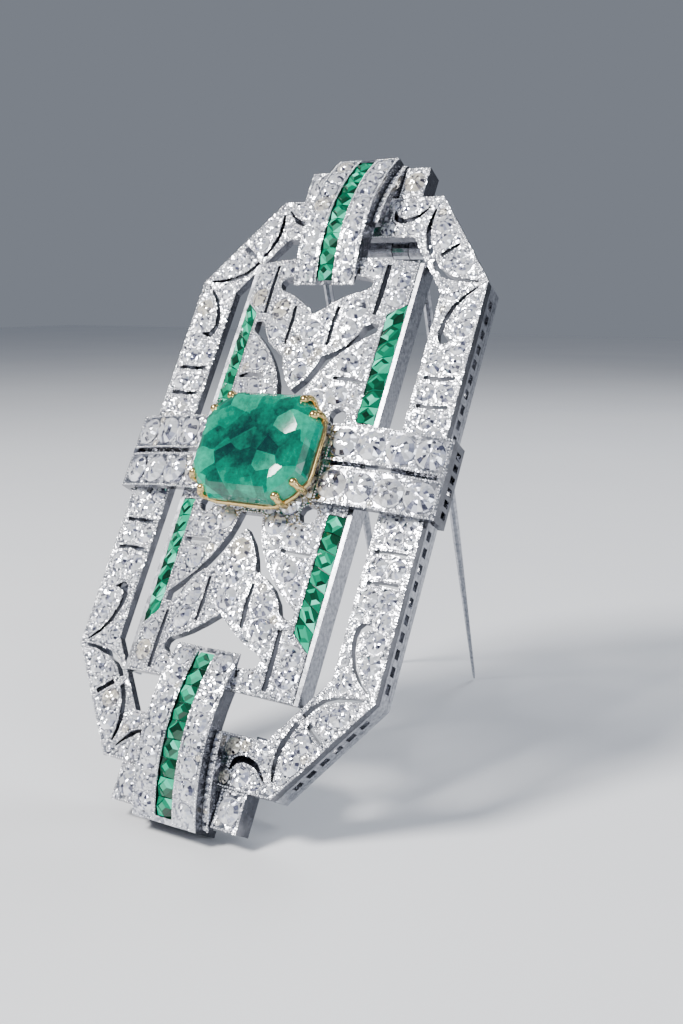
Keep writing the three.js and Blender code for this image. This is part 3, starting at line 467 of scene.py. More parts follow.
def setInputs(modifier, tree, values):
    for item in tree.interface.items_tree:
        if item.item_type == "SOCKET" and item.in_out == "INPUT" and item.name in values:
            modifier[item.identifier] = values[item.name]


def randomNode(tree, low, high, seed):
    node = addNode(tree, "FunctionNodeRandomValue", data_type="FLOAT")
    ends = [s for s in node.inputs if s.type == "VALUE" and s.name in ("Min", "Max")]
    ends[0].default_value, ends[1].default_value = low, high
    tree.links.new(seed, node.inputs["Seed"])
    return [s for s in node.outputs if s.type == "VALUE"][0]


def linkAll(tree, rows):
    for source, output, target, socketName in rows:
        tree.links.new(source.outputs[output], target.inputs[socketName])


def beadTree():
    tree, given, result = newTree("beadedLine", [
        ("beadPitch", "Float"), ("beadDiameter", "Float"), ("beadSeed", "Int"), ("beadMetal", "Material"),
    ])
    curve = addNode(tree, "GeometryNodeMeshToCurve")
    even = addNode(tree, "GeometryNodeResampleCurve", mode="LENGTH")
    ball = addNode(tree, "GeometryNodeMeshIcoSphere", Radius=0.5, Subdivisions=1)
    grow = addNode(tree, "ShaderNodeMath", operation="MULTIPLY")
    place = addNode(tree, "GeometryNodeInstanceOnPoints")
    smooth = addNode(tree, "GeometryNodeSetShadeSmooth")
    real = addNode(tree, "GeometryNodeRealizeInstances")
    metal = addNode(tree, "GeometryNodeSetMaterial")
    growth = randomNode(tree, *beading["growth"], given.outputs["beadSeed"])
    tree.links.new(growth, grow.inputs[0])
    linkAll(tree, (
        (given, "Geometry", curve, "Mesh"),
        (curve, "Curve", even, "Curve"),
        (given, "beadPitch", even, "Length"),
        (even, "Curve", place, "Points"),
        (ball, "Mesh", smooth, "Geometry"),
        (smooth, "Geometry", place, "Instance"),
        (given, "beadDiameter", grow, 1),
        (grow, 0, place, "Scale"),
        (place, "Instances", real, "Geometry"),
        (real, "Geometry", metal, "Geometry"),
        (given, "beadMetal", metal, "Material"),
        (metal, "Geometry", result, "Geometry"),
    ))
    return tree


def stoneTree():
    tree, given, result = newTree("setStones", [
        ("stoneShape", "Object"), ("stoneMaterial", "Material"), ("stoneSeed", "Int"),
    ])
    shape = addNode(tree, "GeometryNodeObjectInfo")
    radius = addNode(tree, "GeometryNodeInputNamedAttribute", data_type="FLOAT", Name="stoneRadius")
    facing = addNode(tree, "GeometryNodeInputNamedAttribute", data_type="FLOAT_VECTOR", Name="stoneNormal")
    turn = addNode(tree, "GeometryNodeInputNamedAttribute", data_type="FLOAT", Name="stoneTurn")
    align = addNode(tree, "FunctionNodeAlignRotationToVector", axis="Z")
    spin = addNode(tree, "FunctionNodeAxisAngleToRotation", Axis=(0, 0, 1))
    turned = addNode(tree, "FunctionNodeRotateRotation", rotation_space="LOCAL")
    place = addNode(tree, "GeometryNodeInstanceOnPoints")
    tone = addNode(tree, "GeometryNodeStoreNamedAttribute", data_type="FLOAT", domain="INSTANCE",
                   Name="stoneTone")
    real = addNode(tree, "GeometryNodeRealizeInstances")
    finish = addNode(tree, "GeometryNodeSetMaterial")
    tones = randomNode(tree, 0.0, 1.0, given.outputs["stoneSeed"])
    tree.links.new(tones, tone.inputs["Value"])
    linkAll(tree, (
        (given, "stoneShape", shape, "Object"),
        (given, "Geometry", place, "Points"),
        (shape, "Geometry", place, "Instance"),
        (facing, "Attribute", align, "Vector"),
        (turn, "Attribute", spin, "Angle"),
        (align, "Rotation", turned, "Rotation"),
        (spin, "Rotation", turned, "Rotate By"),
        (turned, "Rotation", place, "Rotation"),
        (radius, "Attribute", place, "Scale"),
        (place, "Instances", tone, "Geometry"),
        (tone, "Geometry", real, "Geometry"),
        (real, "Geometry", finish, "Geometry"),
        (given, "stoneMaterial", finish, "Material"),
        (finish, "Geometry", result, "Geometry"),
    ))
    return tree


beadedLine = beadTree()
setStones = stoneTree()


def grown(name, mesh, tree, values):
    piece = bpy.data.objects.new(name, mesh)
    bpy.context.scene.collection.objects.link(piece)
    modifier = piece.modifiers.new("grow", "NODES")
    modifier.node_group = tree
    setInputs(modifier, tree, values)
    made = bpy.data.meshes.new_from_object(piece.evaluated_get(bpy.context.evaluated_depsgraph_get()))
    piece.modifiers.clear()
    piece.data = made
    made.name = name
    return piece


def finishPiece(piece, body, slot, *replaced):
    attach(piece, body)
    if replaced:
        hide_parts(*replaced)
    print(piece.name, len(piece.data.polygons), "faces")
    return piece


def beadRuns(name, runs):
    vertices, edges = [], []
    for line, closed in runs:
        first = len(vertices)
        vertices += [toWorldMatrix @ Vector(p) for p in line]
        edges += [(first + i, first + i + 1) for i in range(len(line) - 1)]
        if closed:
            edges.append((len(vertices) - 1, first))
    mesh = bpy.data.meshes.new(name)
    mesh.from_pydata(vertices, edges, [])
    return finishPiece(grown(name, mesh, beadedLine, {
        "beadPitch": beading["pitch"] * mm,
        "beadDiameter": beading["diameter"] * mm,
        "beadSeed": beading["seed"],
        "beadMetal": beadMetal,
    }), "brooch", "platinum")


def onSurface(surface, line, lift):
    raised = []
    for x, y in line:
        hit, _ = dropOn(surface, x, y)
        if hit:
            raised.append((x, y, hit.z + lift))
    return raised


def lineAcross(surface, start, end, steps=24):
    (x0, y0), (x1, y1) = start, end
    places = [(x0 + (x1 - x0) * i / steps, y0 + (y1 - y0) * i / steps) for i in range(steps + 1)]
    return onSurface(surface, places, beading["lift"]), False


def plateRuns(name, floor, smallest=1.2):
    points, faces = frontFaces(name, floor)
    surface = surfaceOf(name)
    runs = []
    for loop in edgeLoops(faces):
        line = onSurface(surface, insetLine(points, loop, beading["inset"]), beading["lift"])
        around = sum((Vector(line[i]) - Vector(line[i - 1])).length for i in range(len(line)))
        if len(line) > 3 and around > smallest:
            runs.append((line, True))
    return runs


# where the stones of the paved fields go

paving = {
    "grid": 0.1,
    "edge": 0.2,          # metal left for the beading beside a stone
    "gap": -0.04,
    "gapFrom": 0.3,       # stones larger than this radius stand that far apart
    "nearAxis": 0.03,
    "grainRoom": 0.05,
    "orderLean": 0.12,
    "tilt": 0.1,
    "sink": 0.02,
    "largeFrom": 0.45,    # radius from which a stone has the full old cut
    "rimReach": 1.04,     # how far out the metal round a seat is felt for, in stone radii
    "openBack": 0.66,
    "backFlatness": 0.3,
}


def insidePoints(points, faces, box):
    step = paving["grid"]
    xs = np.arange(box[0], box[1] + step / 2, step)
    ys = np.arange(box[2], box[3] + step / 2, step)
    filled = np.zeros((len(ys), len(xs)), bool)
    for face in faces:
        (ax, ay), (bx, by), (cx, cy) = points[face][:, :2]
        i0 = max(int((min(ax, bx, cx) - box[0]) / step), 0)
        i1 = min(int((max(ax, bx, cx) - box[0]) / step) + 2, len(xs))
        j0 = max(int((min(ay, by, cy) - box[2]) / step), 0)
        j1 = min(int((max(ay, by, cy) - box[2]) / step) + 2, len(ys))
        area = (by - cy) * (ax - cx) + (cx - bx) * (ay - cy)
        if i0 >= i1 or j0 >= j1 or abs(area) < 1e-9:
            continue
        gx, gy = np.meshgrid(xs[i0:i1], ys[j0:j1])
        u = ((by - cy) * (gx - cx) + (cx - bx) * (gy - cy)) / area
        v = ((cy - ay) * (gx - cx) + (ax - cx) * (gy - cy)) / area
        filled[j0:j1, i0:i1] |= (u >= -1e-6) & (v >= -1e-6) & (u + v <= 1 + 1e-6)
    rows, columns = np.nonzero(filled)
    return np.stack([xs[columns], ys[rows]], 1)


def roomToEdges(places, points, loops):
    room = np.full(len(places), 1e9)
    for loop in loops:
        ring = points[loop][:, :2]
        for i in range(len(loop)):
            start, run = ring[i - 1], ring[i] - ring[i - 1]
            length = float(run @ run)
            if length > 1e-9:
                along = np.clip(((places - start) @ run) / length, 0, 1)
                room = np.minimum(room, np.hypot(*(places - start - along[:, None] * run).T))
    return room


def packed(places, room, sizes, order, onAxis):
    taken = []
    for radius in sizes:
        gap = paving["gap"] if radius > paving["gapFrom"] else 0
        while True:
            free = room >= radius
            if onAxis:
                free &= (places[:, 0] < paving["nearAxis"]) | (places[:, 0] >= radius + gap)
            if not free.any():
                break
            best = int(np.where(free, order, 1e9).argmin())
            x, y = places[best]
            taken.append((x, y, radius))
            room = np.minimum(room, np.hypot(places[:, 0] - x, places[:, 1] - y) - radius - gap)
            if onAxis and x > paving["nearAxis"]:
                room = np.minimum(room, np.hypot(places[:, 0] + x, places[:, 1] - y) - radius - gap)
    return taken, room


def paveField(name, floor, stoneSizes, grainSizes, box, onAxis, keepOut):
    points, faces = frontFaces(name, floor)
    places = insidePoints(points, faces, box)
    room = roomToEdges(places, points, edgeLoops(faces)) - paving["edge"]
    room = np.where(keepOut(places), -1, room)
    order = places[:, 1] + paving["orderLean"] * places[:, 0]
    stones, room = packed(places, room, stoneSizes, order, onAxis)
    grains, room = packed(places, room + paving["grainRoom"], grainSizes, order, onAxis)
    return stones, grains


def fourQuarters(stones):
    spread = []
    for x, y, radius in stones:
        for signX in (1, -1) if x > paving["nearAxis"] else (1,):
            for signY in (1, -1):
                spread.append((x * signX, y * signY, radius))
    return spread


# stone shapes, one unit in radius with the girdle at zero

def ringOf(count, radius, height, start=0.0):
    return [(radius * math.cos(2 * math.pi * (i + start) / count),
             radius * math.sin(2 * math.pi * (i + start) / count), height) for i in range(count)]


def shapeObject(name, vertices, faces):
    mesh = bpy.data.meshes.new(name)
    mesh.from_pydata(vertices, [], faces)
    cut = mesh.attributes.new("cut", "FLOAT_VECTOR", "POINT")
    cut.data.foreach_set("vector", [c for v in vertices for c in v])
    shape = bpy.data.objects.new(name, mesh)
    bpy.context.scene.collection.objects.link(shape)
    return shape


oldCut = {
    "table": 0.5,
    "shoulder": 0.78,
    "crown": 0.36,
    "kiteHigh": 0.2,
    "pavilion": 0.8,
}


def oldCutShape():
    count = 8
    table = ringOf(count, oldCut["table"], oldCut["crown"], 0.5)
    kite = ringOf(count, oldCut["shoulder"], oldCut["kiteHigh"])
    girdle = ringOf(2 * count, 1, 0)
    vertices = table + kite + girdle + [(0, 0, -oldCut["pavilion"])]
    tip = len(vertices) - 1
    faces = [tuple(range(count))]
    for i in range(count):
        t0, t1 = (i - 1) % count, i
        k0, k1 = count + i, count + (i + 1) % count
        g = 2 * count
        faces.append((t0, k0, t1))                                    # star
        faces.append((t1, k0, g + 2 * i + 1, k1))                     # kite
        faces.append((k0, g + 2 * i, g + 2 * i + 1))                  # upper girdle, two to a kite
        faces.append((k1, g + 2 * i + 1, g + (2 * i + 2) % (2 * count)))
        faces.append((g + 2 * i + 1, g + 2 * i, tip))
        faces.append((g + (2 * i + 2) % (2 * count), g + 2 * i + 1, tip))
    return shapeObject("oldCutShape", vertices, faces)


smallCut = {"table": 0.55, "crown": 0.34, "pavilion": 0.7}


def smallCutShape():
    count = 8
    table = ringOf(count, smallCut["table"], smallCut["crown"], 0.5)
    vertices = table + ringOf(count, 1, 0) + [(0, 0, -smallCut["pavilion"])]
    tip = 2 * count
    faces = [tuple(range(count))]
    for i in range(count):
        t0, t1, g0, g1 = (i - 1) % count, i, count + i, count + (i + 1) % count
        faces += [(t0, g0, t1), (t1, g0, g1), (g1, g0, tip)]
    return shapeObject("smallCutShape", vertices, faces)


grain = {"foot": -0.4, "waist": 0.86, "shoulder": 0.35, "top": 0.75, "bottom": -0.6}


def grainShape():
    count = 6
    vertices = ringOf(count, 1, grain["foot"]) + ringOf(count, grain["waist"], grain["shoulder"], 0.5)
    vertices += [(0, 0, grain["top"]), (0, 0, grain["bottom"])]
    faces = []
    for i in range(count):
        a, b = i, (i + 1) % count
        c, d = count + i, count + (i - 1) % count
        faces += [(a, b, c), (d, a, c), (d, c, 2 * count), (b, a, 2 * count + 1)]
    shape = shapeObject("grainShape", vertices, faces)
    shape.data.shade_smooth()
    return shape


seatBack = {"rise": 0.02, "sunk": 0.3}


def openSeatShape():
    # the back of a seat: an opening with the stone's underside in it, painted dark as shade
    count = 10
    vertices = ringOf(count, 1, seatBack["rise"]) + ringOf(count, 1, -seatBack["sunk"])
    vertices.append((0, 0, seatBack["rise"]))
    faces = [tuple(range(count, 2 * count))[::-1]]
    for i in range(count):
        a, b = i, (i + 1) % count
        faces += [(a, b, 2 * count), (b, a, a + count, b + count)]
    return shapeObject("openSeatShape", vertices, faces)


oldCutStone, smallCutStone = oldCutShape(), smallCutShape()
metalGrain, openSeat = grainShape(), openSeatShape()


def rimOf(surface, x, y, radius):
    hit, normal = dropOn(surface, x, y)
    # over a drilled seat the stone rests on the rim, so the height comes from the metal on both sides of it
    for stepX, stepY in ((radius, 0), (0, radius)):
        ends = [dropOn(surface, x + side * stepX, y + side * stepY) for side in (-1, 1)]
        if not all(end[0] for end in ends):
            continue
        height = (ends[0][0].z + ends[1][0].z) / 2
        if not hit or height > hit.z:
            hit, normal = Vector((x, y, height)), (ends[0][1] + ends[1][1]).normalized()
    return hit, normal


def backOf(surface, x, y, radius):
    # only where the whole opening lies on flat metal
    hit, normal = dropOn(surface, x, y, side=-1)
    for stepX, stepY in ((radius, 0), (-radius, 0), (0, radius), (0, -radius)):
        beside, _ = dropOn(surface, x + stepX, y + stepY, side=-1)
        if not hit or not beside or abs(beside.z - hit.z) > paving["backFlatness"]:
            return None, None
    return hit, normal


def stonesOn(name, surface, stones, shape, material, slot, seed, lift=0.0, replaced=(), finder=rimOf):
    dice = random.Random(seed)
    vertices, radii, normals, turns = [], [], [], []
    for x, y, radius in stones:
        hit, normal = finder(surface, x, y, radius * paving["rimReach"])
        if not hit:
            continue
        tilt = Vector((dice.uniform(-1, 1), dice.uniform(-1, 1), 0)) * paving["tilt"]
        vertices.append(toWorldMatrix @ (hit + normal * lift))
        normals += list((toWorldMatrix.to_3x3() @ (normal + tilt)).normalized())
        radii.append(radius * mm)
        turns.append(dice.uniform(0, math.pi / 4))
    mesh = bpy.data.meshes.new(name)
    mesh.from_pydata(vertices, [], [])
    for key, values in (("stoneRadius", radii), ("stoneTurn", turns)):
        mesh.attributes.new(key, "FLOAT", "POINT").data.foreach_set("value", values)
    mesh.attributes.new("stoneNormal", "FLOAT_VECTOR", "POINT").data.foreach_set("vector", normals)
    piece = grown(name, mesh, setStones, {"stoneShape": shape, "stoneMaterial": material, "stoneSeed": seed})
    return finishPiece(piece, "brooch", slot, *replaced)


def openBacks(name, surface, stones, seed):
    large = [s for s in stones if s[2] > paving["largeFrom"]]
    openings = [(x, y, radius * paving["openBack"]) for x, y, radius in large]
    stonesOn(name, surface, openings, openSeat, shadedDiamond, "diamond", seed, finder=backOf)


def paveWith(name, surface, stones, grains, seed):
    large = [s for s in stones if s[2] > paving["largeFrom"]]
    small = [s for s in stones if s[2] <= paving["largeFrom"]]
    stonesOn(name + "Stones", surface, large, oldCutStone, litDiamond, "diamond", seed, -paving["sink"])
    if small:
        stonesOn(name + "SmallStones", surface, small, smallCutStone, litDiamond, "diamond", seed + 1)
    if grains:
        stonesOn(name + "Grains", surface, grains, metalGrain, beadMetal, "platinum", seed + 2)


def pavePlate(nodeName, name, look, keepOut, onAxis=False):
    surface = surfaceOf(nodeName)
    fields = paveField(nodeName, look["floor"], look["stoneSizes"], look["grainSizes"],
                       look["quarter"], onAxis, keepOut)
    stones, grains = [fourQuarters(field) for field in fields]
    paveWith(name, surface, stones, grains, look["seed"])
    openBacks(name + "Backs", surface, stones, look["seed"] + 7)
    beadRuns(name + "Beading", plateRuns(nodeName, look["floor"]))


# outer frame

frameLook = {
    "floor": -0.2,                  # metal lower than this isn't the paved face
    "quarter": (0, 17.2, 0, 31),    # x from and to, y from and to
    "stoneSizes": (1.02, 0.94, 0.86, 0.78, 0.7, 0.62, 0.54, 0.46, 0.38, 0.31),
    "grainSizes": (0.2, 0.15),
    "bandEdge": 4.2,
    "strapEdge": 4.2,
    "strapFrom": 25,
    "seed": 21,
}
pavePlate("outer_frame", "frame", frameLook, lambda p: (p[:, 1] < frameLook["bandEdge"])
          | ((p[:, 0] < frameLook["strapEdge"]) & (p[:, 1] > frameLook["strapFrom"])))

# centre panel

panelLook = {
    "floor": 0.3,
    "quarter": (0, 10.2, 0, 23),
    "stoneSizes": (1.18, 1.06, 0.94, 0.86, 0.78, 0.7, 0.62, 0.54, 0.46, 0.38, 0.31),
    "grainSizes": (0.2, 0.15),
    "bandFrom": 6.0,
    "bandEdge": 4.0,
    "strapEdge": 3.7,
    "strapFrom": 20.2,
    "seed": 31,
}
pavePlate("centre_panel", "panel", panelLook, lambda p: (
    (p[:, 0] > panelLook["bandFrom"]) & (p[:, 1] < panelLook["bandEdge"])
) | ((p[:, 0] < panelLook["strapEdge"]) & (p[:, 1] > panelLook["strapFrom"])), onAxis=True)
print("frame and panel set")

# straps, shoulders, step blocks and bands

strapLook = {
    "edgeX": 3.48,
    "grooveX": 1.07,
    "fromY": 19.34,
    "toY": 35.15,
    "endGap": 0.15,
    "stones": 8,
    "radius": 0.99,
    "cornerStep": 0.86,     # small stones in the corners between two large ones
    "cornerRadius": 0.3,
    "grainShare": 0.5,
    "grainRadius": 0.15,
    "seed": 41,
}

trimRuns = []
for end, sign in (("top", 1), ("bottom", -1)):
    surface = surfaceOf("strap_" + end)
    low, high = strapLook["fromY"], strapLook["toY"]
    for x in (-strapLook["edgeX"], -strapLook["grooveX"], strapLook["grooveX"], strapLook["edgeX"]):
        trimRuns.append(lineAcross(surface, (x, sign * low), (x, sign * high), steps=60))
    for side in (-1, 1):
        for y in (low, high):
            trimRuns.append(lineAcross(surface, (side * strapLook["grooveX"], sign * y),
                                       (side * strapLook["edgeX"], sign * y), steps=10))
    pitch = (high - low - 2 * strapLook["endGap"]) / strapLook["stones"]
    middle = (strapLook["edgeX"] + strapLook["grooveX"]) / 2
    row, grains = [], []
    for i in range(strapLook["stones"]):
        y = low + strapLook["endGap"] + pitch * (i + 0.5)
        between = sign * (y - pitch / 2)
        for side in (-1, 1):
            row.append((side * middle, sign * y, strapLook["radius"]))
            if i:
                for step in (-strapLook["cornerStep"], strapLook["cornerStep"]):
                    row.append((side * (middle + step), between, strapLook["cornerRadius"]))
                    grainX = side * (middle + step * strapLook["grainShare"])
                    grains.append((grainX, between, strapLook["grainRadius"]))
    paveWith("strap" + end.capitalize(), surface, row, grains, strapLook["seed"] + sign)

shoulderLook = {
    "x": 3.94,
    "edgeX": 4.24,
    "fromY": 26.8,
    "toY": 34.6,
    "beadsBefore": 0.4,
    "beadsAfter": 0.3,
    "stones": 13,
    "radius": 0.28,
    "seed": 51,
}
stepLook = {
    "x": 5.78,
    "y": 32.72,
    "halfX": 1.24,
    "halfY": 1.65,
    "radius": 1.2,
    "cornerRadius": 0.32,
    "cornerGap": 0.12,
    "seed": 61,
}

for end, sign in (("top", 1), ("bottom", -1)):
    for side, signX in (("left", -1), ("right", 1)):
        surface = surfaceOf(f"shoulder_{end}_{side}")
        low, high = shoulderLook["fromY"], shoulderLook["toY"]
        pitch = (high - low) / (shoulderLook["stones"] - 1)
        row = [(signX * shoulderLook["x"], sign * (low + pitch * i), shoulderLook["radius"])
               for i in range(shoulderLook["stones"])]
        name = end + side.capitalize()
        stonesOn(name + "ShoulderStones", surface, row, smallCutStone, litDiamond, "diamond",
                 shoulderLook["seed"] + sign + 3 * signX)
        edge = signX * shoulderLook["edgeX"]
        beadsFrom, beadsTo = low - shoulderLook["beadsBefore"], high + shoulderLook["beadsAfter"]
        trimRuns.append(lineAcross(surface, (edge, sign * beadsFrom), (edge, sign * beadsTo), steps=40))
        block = surfaceOf(f"step_block_{end}_{side}")
        x, y = signX * stepLook["x"], sign * stepLook["y"]
        halfX, halfY = stepLook["halfX"], stepLook["halfY"]
        corners = [(x + halfX * sx, y + halfY * sy) for sx, sy in ((-1, -1), (1, -1), (1, 1), (-1, 1))]
        for i in range(4):
            trimRuns.append(lineAcross(block, corners[i], corners[(i + 1) % 4], steps=8))
        inset = stepLook["cornerRadius"] + stepLook["cornerGap"]
        fill = [(x + (halfX - inset) * sx, y + (halfY - inset) * sy, stepLook["cornerRadius"])
                for sx in (-1, 1) for sy in (-1, 1)]
        stonesOn(name + "StepStones", block, [(x, y, stepLook["radius"])] + fill, oldCutStone,
                 litDiamond, "diamond", stepLook["seed"] + sign + 3 * signX)

bandLook = {
    "rows": (0.38, 3.88),
    "innerX": 6.4,
    "outerX": 17.95,
    "stoneRadius": 1.5,
    "lift": 0.06,
    "fillStep": 1.32,
    "fillRadius": 0.36,
    "grainStep": 0.85,
    "grainRadius": 0.17,
    "seed": 71,
}


def broochCentre(name):
    low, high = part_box(name)
    return toBroochMatrix @ ((low + high) / 2)


for side, signX in (("left", -1), ("right", 1)):
    surface = surfaceOf("band_" + side)
    near, far = bandLook["rows"]
    innerX, outerX = signX * bandLook["innerX"], signX * bandLook["outerX"]
    for row, signY in (("upper", 1), ("lower", -1)):
        for y in (near, far):
            trimRuns.append(lineAcross(surface, (innerX, signY * y), (outerX, signY * y), steps=40))
        for x in (innerX, outerX):
            trimRuns.append(lineAcross(surface, (x, signY * near), (x, signY * far), steps=10))
        names = [f"diamond_{side}_{row}_{i}" for i in (1, 2, 3, 4)]
        stones, fill, grains = [], [], []
        for name in names:
            middle = broochCentre(name)
            stones.append((middle.x, middle.y, bandLook["stoneRadius"]))
        for first, second in zip(stones, stones[1:]):
            x, y = (first[0] + second[0]) / 2, first[1]
            fill += [(x, y + turn * bandLook["fillStep"], bandLook["fillRadius"]) for turn in (-1, 1)]
            grains += [(x, y + turn * bandLook["grainStep"], bandLook["grainRadius"]) for turn in (-1, 1)]
        name = side + row.capitalize() + "Band"
        seed = bandLook["seed"] + signX + 3 * signY
        stonesOn(name + "Stones", surface, stones, oldCutStone, litDiamond, "diamond", seed,
                 bandLook["lift"], names)
        stonesOn(name + "Fill", surface, fill, smallCutStone, litDiamond, "diamond", seed + 9)
        stonesOn(name + "Grains", surface, grains, metalGrain, beadMetal, "platinum", seed + 5)
beadRuns("trimBeading", trimRuns)
print("straps and bands set")

# square-cut emeralds in their channels

calibreLook = {
    "gap": 0.02,
    "depth": 0.6,
    "tableRise": 0.34,
    "tableShare": 0.45,
    "shoulderRise": 0.72,    # share of the table's rise
    "shoulderIn": 0.06,
    "panelStones": 7,
    "panelCrest": 2,
    "panelFall": 1.4,
    "panelHalf": 10,
    "panelSeat": 0.12,
    "endReach": 0.1,
    "strapStones": 9,
    "strapSeat": 0.35,
    "seed": 81,
}


def meshPiece(name, vertices, faces, material, toWorld=True):
    mesh = bpy.data.meshes.new(name)
    mesh.from_pydata([toWorldMatrix @ Vector(v) for v in vertices] if toWorld else vertices, [], faces)
    mesh.materials.append(material)
    mesh.validate()
    piece = bpy.data.objects.new(name, mesh)
    bpy.context.scene.collection.objects.link(piece)
    return piece


def faceTones(piece, seed):
    dice = random.Random(seed)
    tones = piece.data.attributes.new("facetTone", "FLOAT", "FACE")
    tones.data.foreach_set("value", [dice.random() for _ in piece.data.polygons])


def squareCut(vertices, faces, corners, heightAt):
    first = len(vertices)
    centre = sum((Vector(c) for c in corners), Vector((0, 0))) / 4
    kept = [Vector(c) + (centre - Vector(c)).normalized() * calibreLook["gap"] for c in corners]
    for c in kept:
        vertices.append((c.x, c.y, heightAt(c.x, c.y) - calibreLook["depth"]))
    for c in kept:
        vertices.append((c.x, c.y, heightAt(c.x, c.y)))
    sideMiddles = [(kept[i] + kept[(i + 1) % 4]) / 2 for i in range(4)]
    shoulderRise = calibreLook["tableRise"] * calibreLook["shoulderRise"]
    for m in sideMiddles:
        m = m + (centre - m) * calibreLook["shoulderIn"]
        vertices.append((m.x, m.y, heightAt(m.x, m.y) + shoulderRise))
    for m in sideMiddles:
        m = centre + (m - centre) * calibreLook["tableShare"]
        vertices.append((m.x, m.y, heightAt(m.x, m.y) + calibreLook["tableRise"]))
    low, high, middle, table = first, first + 4, first + 8, first + 12
    faces.append((low + 3, low + 2, low + 1, low))
    for i in range(4):
        j = (i + 1) % 4
        faces.append((low + i, low + j, high + j, high + i))
        faces.append((high + i, high + j, middle + i))
        faces.append((high + j, middle + j, middle + i))
        faces.append((middle + i, middle + j, table + j, table + i))
    faces.append(tuple(table + i for i in range(4)))


def squareCutRow(name, corners, count, heightAt, nodeName, seed):
    (a, b), (c, d) = [[Vector(corner) for corner in side] for side in corners]
    vertices, faces = [], []
    for i in range(count):
        t0, t1 = i / count, (i + 1) / count
        quad = [tuple(corner) for corner in (a.lerp(b, t0), c.lerp(d, t0), c.lerp(d, t1), a.lerp(b, t1))]
        area = sum(quad[k - 1][0] * quad[k][1] - quad[k][0] * quad[k - 1][1] for k in range(4))
        squareCut(vertices, faces, quad if area > 0 else quad[::-1], heightAt)
    piece = meshPiece(name, vertices, faces, calibreGreen)
    faceTones(piece, seed)
    return finishPiece(piece, "brooch", "emerald", nodeName)


def heightOn(surface, drop):
    def at(x, y):
        hit, _ = dropOn(surface, x, y)
        return hit.z - drop if hit else 0.0
    return at


def panelHeight(x, y):
    fallen = calibreLook["panelFall"] * (x / calibreLook["panelHalf"]) ** 2
    return calibreLook["panelCrest"] - fallen - calibreLook["panelSeat"]


for end, signY in (("top", 1), ("bottom", -1)):
    for side, signX in (("left", -1), ("right", 1)):
        name = f"side_emeralds_{end}_{side}"
        corners = cornersOf(name)
        across = np.abs(corners[:, 0])
        inner, outer = across.min(), across.max()
        nearInner = np.abs(corners[across < inner + calibreLook["endReach"], 1])
        nearOuter = np.abs(corners[across > outer - calibreLook["endReach"], 1])
        squareCutRow(name.title().replace("_", "") + "Row", (
            ((signX * inner, signY * nearInner.min()), (signX * inner, signY * nearInner.max())),
            ((signX * outer, signY * nearOuter.min()), (signX * outer, signY * nearOuter.max())),
        ), calibreLook["panelStones"], panelHeight, name, calibreLook["seed"] + signX + 3 * signY)
    name = f"strap_emeralds_{end}"
    corners = cornersOf(name)
    half = np.abs(corners[:, 0]).max()
    near, far = np.abs(corners[:, 1]).min(), np.abs(corners[:, 1]).max()
    squareCutRow(name.title().replace("_", "") + "Row", (
        ((-half, signY * near), (-half, signY * far)),
        ((half, signY * near), (half, signY * far)),
    ), calibreLook["strapStones"], heightOn(surfaceOf(name), calibreLook["strapSeat"]), name,
        calibreLook["seed"] + 9 + signY)
print("channel emeralds cut")

# the large emerald, its basket and its claws

emeraldLook = {
    "halfX": 6.5,
    "halfY": 5.6,
    "cut": 2.9,
    "cutShrink": 0.59,      # how much the cut corner loses as the outline goes in
    "leastCut": 0.15,
    "cornerIn": 0.42,       # the middle of a cut corner, rounded a little outward
    "cornerOut": 0.05,
    "girdleZ": 4.4,
    "steps": (              # share of the outline, height from the girdle
        (0.12, -3.2), (0.5, -2.45), (0.76, -1.45), (0.93, -0.5), (1.0, -0.14), (1.0, 0.14),
        (0.955, 0.75), (0.88, 1.25), (0.79, 1.55), (0.7, 1.7),
    ),
}


def cutOutline(share):
    x, y, cut = emeraldLook["halfX"], emeraldLook["halfY"], emeraldLook["cut"]
    inset = (1 - share) * y
    x, y, cut = x - inset, y - inset, cut - inset * emeraldLook["cutShrink"]
    cut = max(cut, emeraldLook["leastCut"] * y)
    inward = cut * emeraldLook["cornerIn"]
    quarter = [(x, y - cut), (x - inward, y - inward + emeraldLook["cornerOut"]), (x - cut, y)]
    ring = []
    for signX, signY, flip in ((1, 1, False), (-1, 1, True), (-1, -1, False), (1, -1, True)):
        part = [(px * signX, py * signY) for px, py in quarter]
        ring += part[::-1] if flip else part
    return ring


def largeEmerald():
    vertices, faces = [], []
    for share, height in emeraldLook["steps"]:
        vertices += [(x, y, emeraldLook["girdleZ"] + height) for x, y in cutOutline(share)]
    levels = len(emeraldLook["steps"])
    count = len(vertices) // levels
    faces.append(tuple(range(count))[::-1])
    for level in range(levels - 1):
        for i in range(count):
            a, b = level * count + i, level * count + (i + 1) % count
            faces.append((a, b, b + count, a + count))
    faces.append(tuple((levels - 1) * count + i for i in range(count)))
    piece = meshPiece("largeEmerald", vertices, faces, emeraldGreen)
    halfX, halfY = emeraldLook["halfX"], emeraldLook["halfY"]
    shares = [share for x, y, _ in vertices for share in (x / halfX, y / halfY, 0.0)]
    piece.data.attributes.new("cut", "FLOAT_VECTOR", "POINT").data.foreach_set("vector", shares)
    finishPiece(piece, "brooch", "emerald", "centre_emerald")


largeEmerald()

